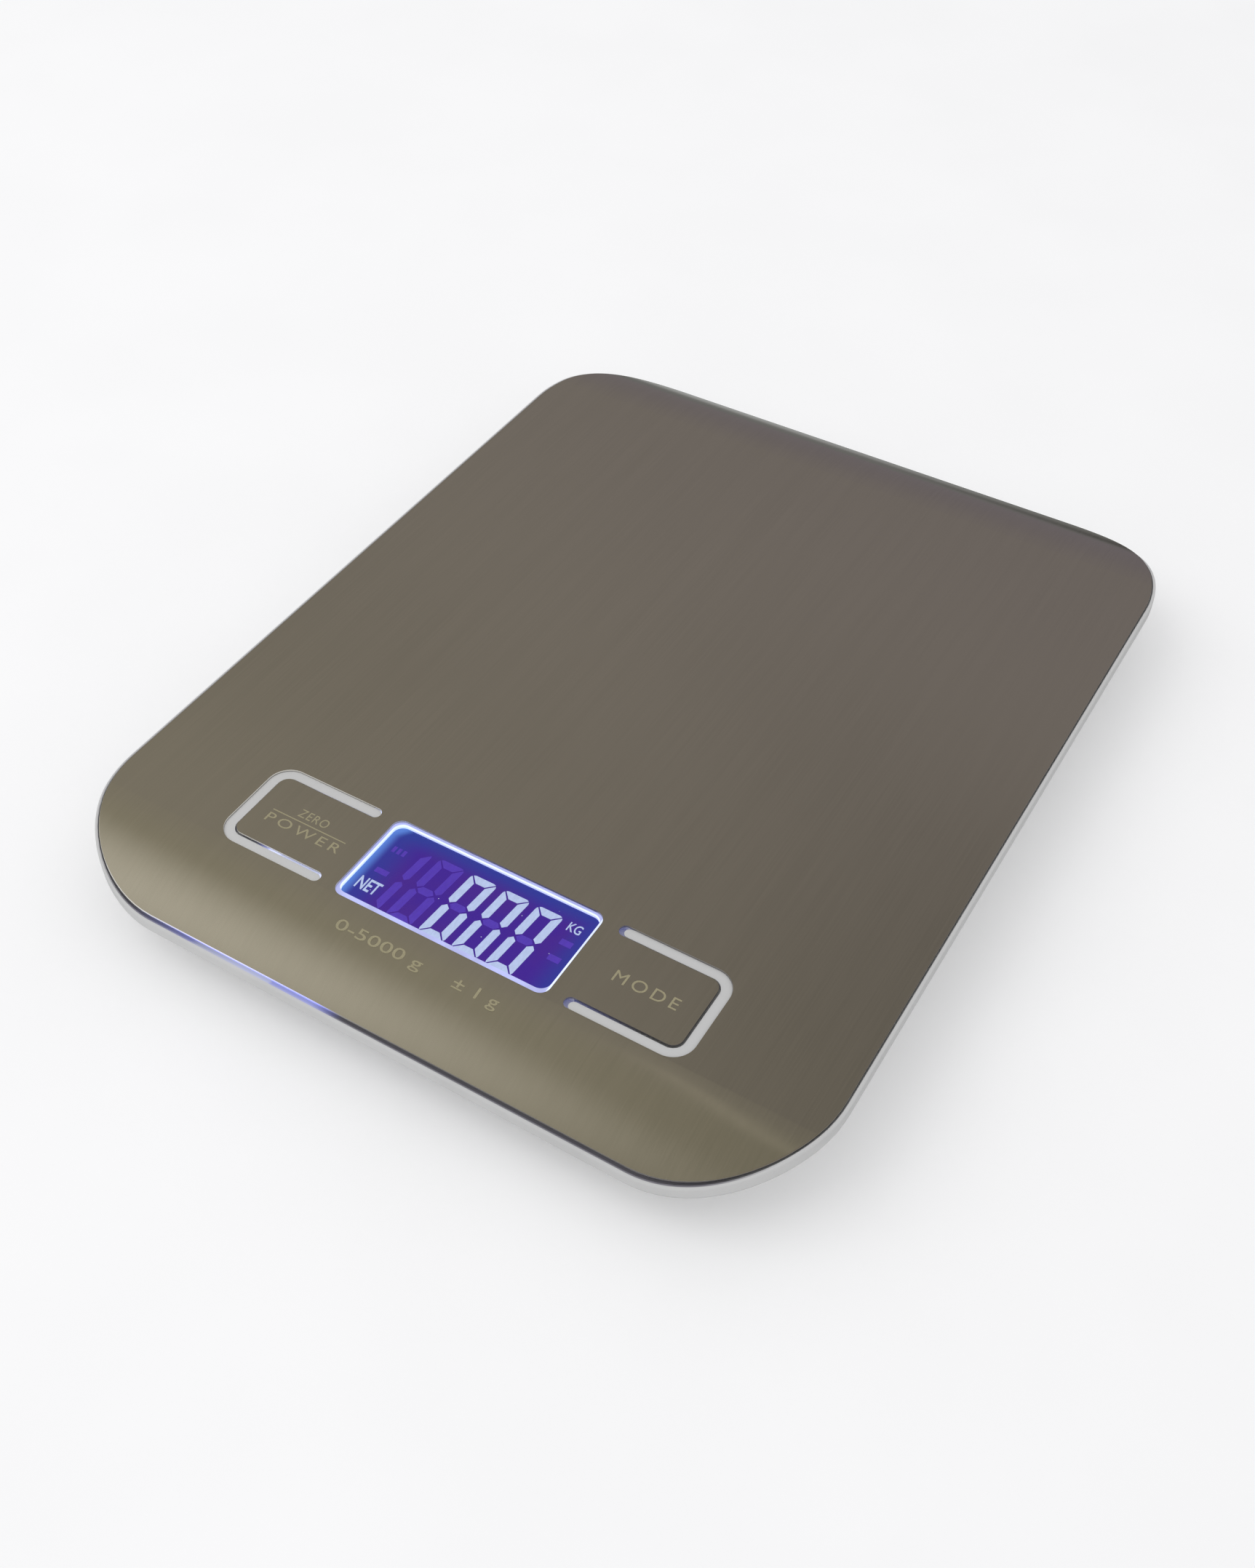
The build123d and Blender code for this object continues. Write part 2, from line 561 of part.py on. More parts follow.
def beam_layers(thickness):
    """Lower and upper z of a layer under the beam and of one on top of it."""
    return ((CELL_BOTTOM - thickness, CELL_BOTTOM), (CELL_TOP, CELL_TOP + thickness))


def strain_gauges():
    """Foil gauges bonded over the thin walls of the beam."""
    foils = [
        block(0, side * CELL_EYE_Y, low, high, GAUGE_W, GAUGE_L)
        for side in (-1, 1)
        for low, high in beam_layers(GAUGE_T)
    ]
    return solids_of(*foils)


def gauge_coating():
    """Silicone coat over the gauges."""
    coats = []
    for low, high in beam_layers(COAT_T):
        coat = block(0, 0, low, high, COAT_W, COAT_L)
        coats.append(fillet(coat.edges().filter_by(Axis.Z), COAT_CORNER_R) - strain_gauges())
    return solids_of(*coats)


def dead_end_spacer():
    """Plate between the tray floor and the fixed end of the beam."""
    plate = block(0, DEAD_END_Y, FLOOR_TOP, CELL_BOTTOM, CELL_W, SPACER_L)
    for hole_y in CELL_HOLES_Y:
        plate -= post(0, hole_y, 0, HEIGHT, M4_R + HOLE_PLAY)
    return plate


def live_end_spacer():
    """Plate between the moving end of the beam and the bracket."""
    plate = block(0, LIVE_END_Y, CELL_TOP, BRACKET_BOTTOM, CELL_W, SPACER_L)
    for hole_y in CELL_HOLES_Y:
        plate -= post(0, -hole_y, 0, HEIGHT, M4_R + HOLE_PLAY)
    return plate


def load_bracket():
    """Steel plate that spreads the load from the deck to the beam."""
    plate = rounded_block(
        0, 0, BRACKET_BOTTOM, BRACKET_TOP, BRACKET_W, BRACKET_L, BRACKET_CORNER_R
    )
    for x, y in BRACKET_SCREWS:
        plate -= post(x, y, 0, HEIGHT, M3_R + HOLE_PLAY)
    for y in CELL_HOLES_Y:
        plate -= post(0, -y, 0, HEIGHT, M4_R + HOLE_PLAY)
    for side in (-1, 1):
        plate -= rounded_block(
            side * BRACKET_CUT_X, 0, 0, HEIGHT, BRACKET_CUT_W, BRACKET_CUT_L, BRACKET_CUT_R
        )
    return plate


def bracket_screws():
    """Four screws from the bracket up into the deck bosses."""
    return solids_of(*[screw(x, y, BRACKET_BOTTOM, 1, BRACKET_SCREW) for x, y in BRACKET_SCREWS])


def live_end_screws():
    """Two screws from the bracket down into the moving end of the beam."""
    return solids_of(*[screw(0, -y, BRACKET_TOP, -1, LIVE_END_SCREW) for y in CELL_HOLES_Y])


def dead_end_screws():
    """Two screws from under the tray up into the fixed end of the beam."""
    seat = TRAY_BOTTOM + SCREW_WELL_DEPTH
    return solids_of(*[screw(0, y, seat, 1, DEAD_END_SCREW) for y in CELL_HOLES_Y])


def overload_stop():
    """Set screw under the moving end of the beam, with a hexagon socket."""
    low = TRAY_BOTTOM + STOP_RECESS
    stop = post(0, LIVE_END_Y, low, CELL_BOTTOM - STOP_GAP, M3_R)
    socket = extrude(RegularPolygon(STOP_SOCKET_R, 6), STOP_SOCKET_DEPTH)
    return stop - Pos(0, LIVE_END_Y, low) * socket


# ---- base tray ----------------------------------------------------------------------
def hull(wall, z_low):
    """The tray's sloping hull as a solid block, drawn in by wall all round."""
    top = HEIGHT - TRAY_TOP_OFFSET + OVER / 2
    levels = [z_low + (top - z_low) * step / HULL_STEPS for step in range(HULL_STEPS + 1)]
    sections = []
    for z in levels:
        rise = (z - TRAY_BOTTOM) / (top - TRAY_BOTTOM)
        inset = TRAY_TOP_INSET + (TRAY_FOOT_INSET - TRAY_TOP_INSET) * (1 - rise) ** 2 + wall
        corner = CORNER_R + TRAY_CORNER_EXTRA - inset
        outline = RectangleRounded(WIDTH - 2 * inset, LENGTH - 2 * inset, corner)
        sections.append(Pos(0, 0, z) * outline)
    return loft(sections)


def tray_fittings():
    """Battery walls, screw bosses and floor ribs."""
    floor = FLOOR_TOP - MERGE
    adds = [
        block(0, BATTERY_Y, floor, BOX_TOP, BOX_X + 2 * BOX_WALL, BOX_Y + 2 * BOX_WALL),
        post(0, LIVE_END_Y, floor, FLOOR_TOP + STOP_BOSS_H, STOP_BOSS_R),
    ]
    for x, y, length, height in TRAY_RIBS:
        adds.append(block(x, y, floor, FLOOR_TOP + height, RIB_T, length))
    for x, y in FEET:
        adds.append(post(x, y, floor, FLOOR_TOP + FOOT_PAD_H, FOOT_PAD_R))
    return adds


def tray_cuts():
    """Battery opening, door recess, feet recesses and screw holes."""
    door_low_y = BATTERY_Y - DOOR_Y / 2 - DOOR_PLAY
    door_high_y = DOOR_PIVOT_Y + DOOR_T / 2 + DOOR_PLAY
    middle, size = (door_low_y + door_high_y) / 2, door_high_y - door_low_y
    recess_top = TRAY_BOTTOM + DOOR_T + DOOR_PLAY / 2
    cuts = [block(0, middle, 0, recess_top, DOOR_X + 2 * DOOR_PLAY, size)]
    cuts.append(block(0, BATTERY_Y, 0, HEIGHT, BOX_X, BOX_Y))
    pin_len = DOOR_X + 2 * (DOOR_PIN_LEN + PIN_END_PLAY)
    pin = Rot(0, 90, 0) * Cylinder(DOOR_PIN_R + PIN_PLAY, pin_len)
    cuts.append(Pos(0, DOOR_PIVOT_Y, DOOR_PIVOT_Z) * pin)
    notch_y = door_low_y + OVER - THUMB_L / 2
    cuts.append(block(0, notch_y, 0, TRAY_BOTTOM + THUMB_DEPTH, THUMB_W, THUMB_L))
    for x, y in FEET:
        cuts.append(post(x, y, 0, FOOT_H, FOOT_R))
    for y in CELL_HOLES_Y:
        cuts.append(post(0, y, 0, TRAY_BOTTOM + SCREW_WELL_DEPTH, SCREW_WELL_R))
        cuts.append(post(0, y, 0, HEIGHT, M4_R + HOLE_PLAY))
    cuts.append(post(0, LIVE_END_Y, 0, CELL_BOTTOM, M3_R + HOLE_PLAY))
    return cuts


def base_tray():
    """Lower shell that stands on the feet and carries the beam and the batteries."""
    edge = below_sheet(TRAY_TOP_OFFSET)
    tray = (hull(0, TRAY_BOTTOM) & edge) - hull(TRAY_WALL, FLOOR_TOP)
    for shape in tray_fittings():
        tray += shape
    for shape in tray_cuts():
        tray -= shape
    return tray


def rubber_feet():
    """Four round feet glued into recesses."""
    feet = []
    for x, y in FEET:
        foot = post(x, y, 0, FOOT_H, FOOT_R)
        feet.append(fillet(foot.edges().sort_by(Axis.Z)[0], FOOT_EDGE_R))
    return solids_of(*feet)


# ---- batteries ----------------------------------------------------------------------
def battery_rows():
    """Each battery's y and the side of its button end."""
    return ((BATTERY_Y - BATTERY_PITCH / 2, 1), (BATTERY_Y + BATTERY_PITCH / 2, -1))


def battery_button_x():
    """Distance from the middle to the tip of a battery's button."""
    return BOX_X / 2 - 2 * CONTACT_T


def battery_cells():
    """Two small round cells side by side, pointing opposite ways."""
    cells = []
    for y, side in battery_rows():
        can_end = battery_button_x() - NUB_LEN
        can = Pos(can_end - BATTERY_LEN / 2, 0, 0) * Rot(0, 90, 0) * Cylinder(BATTERY_R, BATTERY_LEN)
        can = fillet(can.edges().filter_by(GeomType.CIRCLE), BATTERY_EDGE_R)
        nub = Pos(can_end + NUB_LEN / 2, 0, 0) * Rot(0, 90, 0) * Cylinder(NUB_R, NUB_LEN)
        turn = Rot(0, 0, 0) if side > 0 else Rot(0, 0, 180)
        cells.append(Pos(0, y, BATTERY_Z) * turn * (can + nub))
    return solids_of(*cells)


def battery_contacts():
    """Sheet contacts at the ends: one bridge on the right, two single plates on the left."""
    high = BATTERY_Z + CONTACT_REACH
    low = BATTERY_Z - CONTACT_REACH
    width = 2 * CONTACT_REACH
    plate_x = BOX_X / 2 - CONTACT_T / 2
    bridge = block(plate_x, BATTERY_Y, low, high, CONTACT_T, BATTERY_PITCH + width)
    singles = [block(-plate_x, y, low, high, CONTACT_T, width) for y, _ in battery_rows()]
    plates = [bridge, *singles]
    button_y = {side: y for y, side in battery_rows()}
    for index, side in ((0, 1), (2, -1)):
        dimple = Rot(0, 90, 0) * Cylinder(DIMPLE_R, CONTACT_T)
        plates[index] += Pos(side * (plate_x - CONTACT_T), button_y[side], BATTERY_Z) * dimple
    return solids_of(*plates)


def battery_springs():
    """Tapered coil springs that push on the flat ends of the batteries."""
    plate_face = BOX_X / 2 - CONTACT_T
    flat_end = BATTERY_LEN + NUB_LEN - battery_button_x()
    end_room = SPRING_WIRE_R + SPRING_PLAY
    length = plate_face - flat_end - 2 * end_room
    path = Helix(length / SPRING_TURNS, length, SPRING_R, cone_angle=SPRING_CONE)
    section = RegularPolygon(SPRING_WIRE_R, 8)
    coil = sweep(Plane(path @ 0, z_dir=path % 0) * section, path, is_frenet=True)
    springs = []
    for y, side in battery_rows():
        start = Pos(-side * (plate_face - end_room), y, BATTERY_Z)
        springs.append(start * Rot(0, side * 90, 0) * coil)
    return solids_of(*springs)


def battery_door():
    """Cover on two end pins, with a rounded hinge edge and a thumb latch."""
    front = BATTERY_Y - DOOR_Y / 2
    middle, length = (front + DOOR_PIVOT_Y) / 2, DOOR_PIVOT_Y - front
    plate = block(0, middle, TRAY_BOTTOM, TRAY_BOTTOM + DOOR_T, DOOR_X, length)
    lie = Pos(0, DOOR_PIVOT_Y, DOOR_PIVOT_Z) * Rot(0, 90, 0)
    plate += lie * Cylinder(DOOR_T / 2, DOOR_X)
    plate += lie * Cylinder(DOOR_PIN_R, DOOR_X + 2 * DOOR_PIN_LEN)
    for side in (-1, 1):
        slit_y = front + LATCH_SLIT_L / 2
        plate -= block(side * LATCH_SLIT_X, slit_y, 0, FLOOR_TOP, LATCH_SLIT_W, LATCH_SLIT_L)
    for row in range(GRIP_ROWS):
        grip_y = front + GRIP_FIRST + GRIP_PITCH * row
        plate -= block(0, grip_y, 0, TRAY_BOTTOM + GRIP_DEPTH, GRIP_W, GRIP_L)
    return plate


# ---- wiring -------------------------------------------------------------------------
def wire(points, radius):
    """A round wire along a smooth line that stays inside the hull of its guide points."""
    path = Bezier(*points)
    return sweep(Plane(path @ 0, z_dir=path % 0) * Circle(radius), path)


def battery_wires():
    """Two wires from the left contacts to the board."""
    end_y, end_z = PANEL_Y + WIRE_TO_BOARD_Y, PCB_UNDER - WIRE_END_GAP
    wires = []
    for step in (0, 1):
        x, z = BATTERY_WIRE_X - BATTERY_WIRE_PITCH * step, BATTERY_WIRE_Z
        start_x = -BOX_X / 2 - BOX_WALL - 1.0
        start_y = BATTERY_Y + BATTERY_WIRE_START_DY + BATTERY_WIRE_START_PITCH * step
        route = [(start_x, start_y, BATTERY_WIRE_START_Z), (start_x, 42, z + 1.0), (x - 2, 28, z + 0.2)]
        route += [(x, 0, z), (x, -40, z), (x, end_y, z), (x, end_y, end_z)]
        wires.append(wire(route, BATTERY_WIRE_R))
    return solids_of(*wires)


def load_cell_wires():
    """Four fine wires from the gauges to the board."""
    end_y, end_z = PANEL_Y + WIRE_TO_BOARD_Y, PCB_UNDER - WIRE_END_GAP
    wires = []
    for step in range(4):
        x, z = CELL_WIRE_X + CELL_WIRE_PITCH * step, CELL_WIRE_Z
        start_x, start_y = CELL_W / 2 + 0.4, CELL_WIRE_PITCH * (1 - step)
        route = [(start_x, start_y, CELL_WIRE_START_Z), (x, start_y, CELL_WIRE_BEND_Z)]
        route += [(x, -20, z), (x, -40, z), (x, end_y, z), (x, end_y, end_z)]
        wires.append(wire(route, CELL_WIRE_R))
    return solids_of(*wires)


NODES = {
    "platform_sheet": platform_sheet,
    "upper_housing": upper_housing,
    "adhesive_pads": adhesive_pads,
    "power_key": lambda: key_tongue(-1),
    "power_key_plunger": lambda: key_plunger(-1),
    "unit_key": lambda: key_tongue(1),
    "unit_key_plunger": lambda: key_plunger(1),
    "display_window": display_window,
    "display_frame": display_frame,
    "lcd_panel": lcd_panel,
    "backlight_guide": backlight_guide,
    "backlight_leds": backlight_leds,
    "elastomer_connectors": elastomer_connectors,
    "circuit_board": circuit_board,
    "chip_cover": chip_cover,
    "board_parts": board_parts,
    "switch_bodies": switch_bodies,
    "power_switch_stem": lambda: switch_stem(-1),
    "unit_switch_stem": lambda: switch_stem(1),
    "board_screws": board_screws,
    "load_bracket": load_bracket,
    "bracket_screws": bracket_screws,
    "live_end_spacer": live_end_spacer,
    "live_end_screws": live_end_screws,
    "load_cell": load_cell,
    "strain_gauges": strain_gauges,
    "gauge_coating": gauge_coating,
    "dead_end_spacer": dead_end_spacer,
    "dead_end_screws": dead_end_screws,
    "overload_stop": overload_stop,
    "base_tray": base_tray,
    "rubber_feet": rubber_feet,
    "battery_cells": battery_cells,
    "battery_contacts": battery_contacts,
    "battery_springs": battery_springs,
    "battery_door": battery_door,
    "battery_wires": battery_wires,
    "load_cell_wires": load_cell_wires,
}

os.makedirs("parts", exist_ok=True)
for name, build in NODES.items():
    export_step(build(), f"parts/{name}.step")
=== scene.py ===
import json
import math

import bmesh
import bpy
from mathutils import Matrix, Vector


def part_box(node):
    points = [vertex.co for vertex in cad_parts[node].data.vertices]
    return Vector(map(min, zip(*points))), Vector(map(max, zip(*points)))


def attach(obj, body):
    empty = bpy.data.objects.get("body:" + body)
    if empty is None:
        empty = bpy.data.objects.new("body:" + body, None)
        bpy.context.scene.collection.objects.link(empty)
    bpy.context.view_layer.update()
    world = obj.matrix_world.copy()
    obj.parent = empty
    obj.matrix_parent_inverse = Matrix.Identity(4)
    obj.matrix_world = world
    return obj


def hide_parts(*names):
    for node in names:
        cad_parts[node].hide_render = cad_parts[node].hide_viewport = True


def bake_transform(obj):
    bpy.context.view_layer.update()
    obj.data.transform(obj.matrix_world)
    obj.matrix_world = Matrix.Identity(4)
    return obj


# Digital gram scale: finishes, display, legends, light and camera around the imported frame.
# Metres, in the row frame: +Z up, +Y away from the display end.

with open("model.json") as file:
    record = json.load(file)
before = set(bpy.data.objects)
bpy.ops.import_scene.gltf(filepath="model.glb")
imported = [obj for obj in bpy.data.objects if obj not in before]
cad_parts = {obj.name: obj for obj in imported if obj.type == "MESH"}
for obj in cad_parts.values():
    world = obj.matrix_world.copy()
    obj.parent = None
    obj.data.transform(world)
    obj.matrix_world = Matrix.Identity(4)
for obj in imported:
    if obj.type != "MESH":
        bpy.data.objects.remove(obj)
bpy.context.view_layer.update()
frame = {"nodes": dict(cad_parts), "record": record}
SLOT_OF = {part["node"]: part["material_slot"] for part in frame["record"]["subparts"]}
MM = 0.001

# ---- camera ------------------------------------------------------------------------------
CAMERA_AT = Vector((0.11300, -0.20511, 0.23148))
CAMERA_AIM = Vector((0.00830, -0.02672, 0.01600))
CAMERA_ROLL = math.radians(0.73)
LENS_MM, SENSOR_MM = 39.65, 36.0

# ---- studio ------------------------------------------------------------------------------
PALE = (0.90, 0.90, 0.90)          # background behind the floor
DOME = (0.79, 0.79, 0.80)          # what matt surfaces are lit by
FLOOR_COLOUR = (0.93, 0.93, 0.93)
FLOOR_GLOW = 0.12                  # evens out the floor's shading
FLOOR_SIZE = 8.0
KEY_LIGHT_WATTS, KEY_LIGHT_SIZE = 2.2, 0.9
KEY_LIGHT_AT = Vector((-0.55, -0.45, 0.95))
ROOM_OVERHEAD = (0.313, 0.311, 0.247)   # what polished surfaces see straight up
ROOM_BEHIND = (0.186, 0.175, 0.212)     # and towards the far end of the scale
ROOM_TURN = (0.105, 1.186)              # how far back the one fades into the other
ROOM_SHADE = 0.31                       # share of light missing in a darker part of the ceiling
SHADE_X, SHADE_Y = (-0.434, -0.084), (0.716, 0.644)    # where the darker part sets in
CEILING_BAND, BAND_EDGE, BAND_SHADE = (0.505, 0.575), 0.05, 0.075       # a slightly darker band across it
SOFTBOX = (1.045, 1.082, 1.004)
SOFTBOX_TOWARDS = Vector((-0.638, -0.327, 0.697))
SOFTBOX_FADE = (0.851, 1.189)           # cosines where the softbox begins and is full
CEILING_GAP = (0.16, 0.16, 0.135)       # thin bright line along the ceiling, where 2 x + y = GAP_LINE
GAP_LINE, GAP_FADE = -0.132, (0.055, 0.020)
GAP_X, GAP_X_EDGE = (-0.265, -0.190), 0.02
TABLE_LEFT = (0.41, 0.435, 0.445)       # the floor left of the scale, as polished surfaces see it
TABLE_RIGHT = (0.165, 0.17, 0.168)      # and right of it
TABLE_FADE_MM = (-60.0, 60.0)
TABLE_FAR_MM, TABLE_FAR = (115.0, 190.0), 0.45      # it darkens to this share behind the scale

# ---- colours (linear) --------------------------------------------------------------------
STEEL = (0.605, 0.542, 0.468)
STEEL_LIGHT = (0.635, 0.568, 0.492)
ETCHED = (0.375, 0.335, 0.205)
CUT_EDGE = (0.36, 0.34, 0.34)
EDGE_HIGHLIGHT = (0.80, 0.78, 0.72)               # painted highlight: the thin bright line along the sheet's edges
WHITE_PLASTIC = (0.62, 0.62, 0.615)
GROOVE_SHADE = (0.12, 0.11, 0.145)      # the groove between the moulding's lip and the sheet
GLOW_BLUE = (0.23, 0.27, 1.0)
GLOW_LILAC = (0.42, 0.46, 0.88)
GLOW_WHITE = (0.62, 0.68, 1.0)
LIT_LINE = (0.72, 0.82, 1.0)            # the brightest line of the display's frame
LCD_INDIGO = (0.050, 0.014, 0.270)
LCD_INDIGO_WARM = (0.058, 0.016, 0.250)
LCD_SPECK = (0.62, 0.66, 0.80)
LCD_BLUE = (0.018, 0.045, 0.300)
LCD_TEAL = (0.095, 0.215, 0.660)
LCD_LIT = (0.50, 0.60, 0.87)
LCD_UNLIT = (0.078, 0.028, 0.440)

# ---- the display's light on the white moulding (mm) ----------------------------------------
POCKET_Z, POCKET_Y = (14.55, 15.48), (-75.0, -50.0)    # walls of the key pockets that it reaches
SPOT_X = (-35.7, -33.6)                 # a brighter spot on the left key's front wall
LEFT_GLOW, RIGHT_GLOW, SPOT_GLOW = 0.52, 0.10, 0.30
GROOVE_GLOW, EDGE_GLOW = 0.50, 0.95
GLOW_RISE, GLOW_FALL = (-52.0, -24.0), (-6.0, -13.0)   # x where the front groove's glow comes and goes
GROOVE = (0.42, 1.2)                    # the groove, measured in from the moulding's outline
SHEET_END_Y = (-88.9, -89.1)            # where the front cut edge begins

# ---- display lettering (mm) --------------------------------------------------------------
DIGIT_W, DIGIT_H = 5.03, 14.54
DIGIT_PITCH = 6.47
DIGIT_LEFT, DIGIT_LOW = -4.75, -70.97     # lower left corner of the first lit digit
DIGIT_SLANT = math.radians(4.0)
BAR_X, BAR_Y = 1.44, 1.47                 # width of upright and level bars
BAR_GAP = 0.28
TIP = 0.44                                # where an upright bar's point is, as a share of its width
TIP_GAP, SHOULDER = 0.26, 0.90            # how far its point and its shoulders stand back from the middle
CORNER = 0.9                              # rounding of a digit's outer corners
MIDDLE_END, MIDDLE_SHOULDER = 0.93, 1.62  # where the middle bar's point and full width begin
PRINT_T = 0.02                            # thickness of anything printed or etched
UNIT_BLOCK, UNIT_BLOCK_PITCH = (16.2, -61.4, 2.2, 1.2), 3.6       # unlit blocks at the right edge
TICK, TICK_PITCH = (-18.4, -59.4, 0.6, 1.3), 1.0                  # unlit ticks at the left edge
MINUS = (-18.2, -64.4, 2.5, 1.1)                                  # unlit minus sign
WORD_X, WORD_Y, UNIT_X, UNIT_Y = -17.0, -67.4, 16.9, -57.5        # middles of the display's two words
LEGEND_LINE = (-40.1, -63.25, 15.3, 0.22)                         # between the left key's two words
FRONT_LEGEND_Y, FRONT_LEGEND_H = -77.5, 2.7
BEND_RUN, BEND_DROP = 16.5, 4.75          # the sheet's bent end, as in the CAD part
OUTLINE_R = 24.5                          # plan corners of the moulding, as in the CAD part

# ---- what bends under a load (mm) ----------------------------------------------------------
BEAM_FLEX = 7.0                           # the beam bends this far either side of its middle
WIRE_FLEX = (-20.0, -50.0)                # y where the wires leave the tray and where they reach the board
BEND_ROWS = 8                             # rows of points added to carry the bend


# ---- shader graphs -----------------------------------------------------------------------
MIX_FACTOR, MIX_A, MIX_B, MIX_RESULT = 0, 6, 7, 2      # colour sockets of the mix node


class Graph:
    """One node tree, with short ways to add nodes and join them."""

    def __init__(self, tree):
        tree.nodes.clear()
        self.tree = tree

    def add(self, kind, inputs=None, **settings):
        node = self.tree.nodes.new(kind)
        for name, value in settings.items():
            setattr(node, name, value)
        for key, value in (inputs or {}).items():
            self.feed(node.inputs[key], value)
        return node

    def feed(self, socket, value):
        if isinstance(value, bpy.types.NodeSocket):
            self.tree.links.new(value, socket)
        elif socket.type == "RGBA":
            socket.default_value = (*value, 1.0)
        else:
            socket.default_value = value

    def math(self, operation, a, b=0.0):
        return self.add("ShaderNodeMath", {0: a, 1: b}, operation=operation).outputs[0]

    def times(self, *values):
        product = values[0]
        for value in values[1:]:
            product = self.math("MULTIPLY", product, value)
        return product

    def fade(self, value, start, end, low=0.0, high=1.0):
        """Goes smoothly from low to high as value goes from start to end."""
        inputs = {"Value": value, "From Min": start, "From Max": end, "To Min": low, "To Max": high}
        return self.add("ShaderNodeMapRange", inputs, interpolation_type="SMOOTHSTEP").outputs[0]

    def between(self, value, low, high, edge):
        """1 inside low..high, falling smoothly to 0 over edge outside it."""
        return self.times(self.fade(value, low - edge, low), self.fade(value, high + edge, high))

    def mix(self, factor, a, b):
        inputs = {MIX_FACTOR: factor, MIX_A: a, MIX_B: b}
        return self.add("ShaderNodeMix", inputs, data_type="RGBA").outputs[MIX_RESULT]

    def place(self):
        """Position in the row frame, in millimetres."""
        spot = self.add("ShaderNodeTexCoord").outputs["Object"]
        scaled = self.add("ShaderNodeVectorMath", {0: spot, "Scale": 1 / MM}, operation="SCALE")
        return scaled.outputs[0]

    def split(self, vector):
        return self.add("ShaderNodeSeparateXYZ", {0: vector}).outputs[:3]

    def noise(self, place, per_mm, detail=2.0):
        """Noise between 0 and 1 with per_mm features per millimetre, one number or one per axis."""
        if isinstance(per_mm, tuple):
            place = self.add("ShaderNodeVectorMath", {0: place, 1: per_mm}, operation="MULTIPLY").outputs[0]
            per_mm = 1.0
        inputs = {"Vector": place, "Scale": per_mm, "Detail": detail}
        return self.add("ShaderNodeTexNoise", inputs).outputs[0]

    def bump(self, height, depth_mm):
        """Normal of a relief that is depth_mm high."""
        inputs = {"Height": height, "Distance": depth_mm * MM, "Strength": 1.0}
        return self.add("ShaderNodeBump", inputs).outputs[0]

    def surface(self, shader):
        self.add("ShaderNodeOutputMaterial", {"Surface": shader})


def new_material(name):
    material = bpy.data.materials.new(name + "_finish")
    material.use_nodes = True
    return material, Graph(material.node_tree)


def principled(graph, inputs):
    return graph.add("ShaderNodeBsdfPrincipled", inputs).outputs[0]


# ---- steel -------------------------------------------------------------------------------
def depth_in_sheet(g, place):
    """How far below the sheet's top a place is, in mm, the bent ends included."""
    x, y, z = g.split(place)
    low, high = (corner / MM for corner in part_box("platform_sheet"))
    radius = (BEND_RUN**2 + BEND_DROP**2) / (2 * BEND_DROP)
    beyond = g.math("SUBTRACT", g.math("ABSOLUTE", y), high.y - BEND_RUN)
    beyond = g.math("MAXIMUM", beyond, 0.0)
    rest = g.math("SUBTRACT", radius**2, g.times(beyond, beyond))
    drop = g.math("SUBTRACT", radius, g.math("SQRT", rest))
    return g.math("SUBTRACT", g.math("SUBTRACT", high.z, drop), z)


def brushed_steel(name):
    """Stainless sheet brushed from front to back, with a dull cut edge under a painted highlight, a thin
    bright line along its top.
    """
    material, g = new_material(name)
    place = g.place()
    fine = g.noise(place, (3.2, 0.045, 0.5), 4.0)
    broad = g.noise(place, (0.35, 0.012, 0.2), 2.0)
    smudge = g.noise(place, 0.035, 3.0)
    x, y, z = g.split(place)
    up = g.split(g.add("ShaderNodeNewGeometry").outputs["Normal"])[2]
    cut_edge = g.fade(up, 0.72, 0.40)
    # painted highlight: a thin bright, non-metallic line where the sheet's top meets its cut edge
    edge_highlight = g.times(g.fade(up, 0.83, 0.72), g.fade(depth_in_sheet(g, place), 0.32, 0.25))
    edge_highlight = g.times(edge_highlight, g.fade(x, 10.0, -40.0, 0.15, 1.0))         # the painted highlight shows most on the left
    grain = g.math("ADD", g.times(fine, 0.6), g.times(broad, 0.4))
    colour = g.mix(g.fade(grain, 0.30, 0.70), STEEL, STEEL_LIGHT)
    colour = g.mix(cut_edge, colour, CUT_EDGE)
    colour = g.mix(edge_highlight, colour, EDGE_HIGHLIGHT)
    rough = g.math("ADD", g.fade(fine, 0.3, 0.7, 0.11, 0.15), g.fade(smudge, 0.35, 0.7, 0.0, 0.025))
    shader = principled(g, {
        "Base Color": colour,
        "Metallic": g.math("SUBTRACT", 1.0, edge_highlight),
        "Roughness": g.math("ADD", rough, g.times(cut_edge, 0.15)),
        "Emission Color": GLOW_BLUE,
        # painted light: the display's blue light, painted as a glow on the front cut edge
        "Emission Strength": g.times(cut_edge, g.fade(y, *SHEET_END_Y), front_glow(g, x), EDGE_GLOW),
        "Anisotropic": 0.4,
        "Tangent": (0.0, 1.0, 0.0),
        "Normal": g.bump(fine, 0.0003),
    })
    g.surface(shader)
    return material


def etched(name):
    """Laser-marked lettering: a dull yellowish grey with a grainy edge."""
    material, g = new_material(name)
    grain = g.noise(g.place(), 6.0, 3.0)
    shader = principled(g, {
        "Base Color": g.mix(g.fade(grain, 0.35, 0.65), ETCHED, tuple(0.85 * c for c in ETCHED)),
        "Roughness": g.fade(grain, 0.2, 0.8, 0.5, 0.75),
    })
    g.surface(shader)
    return material


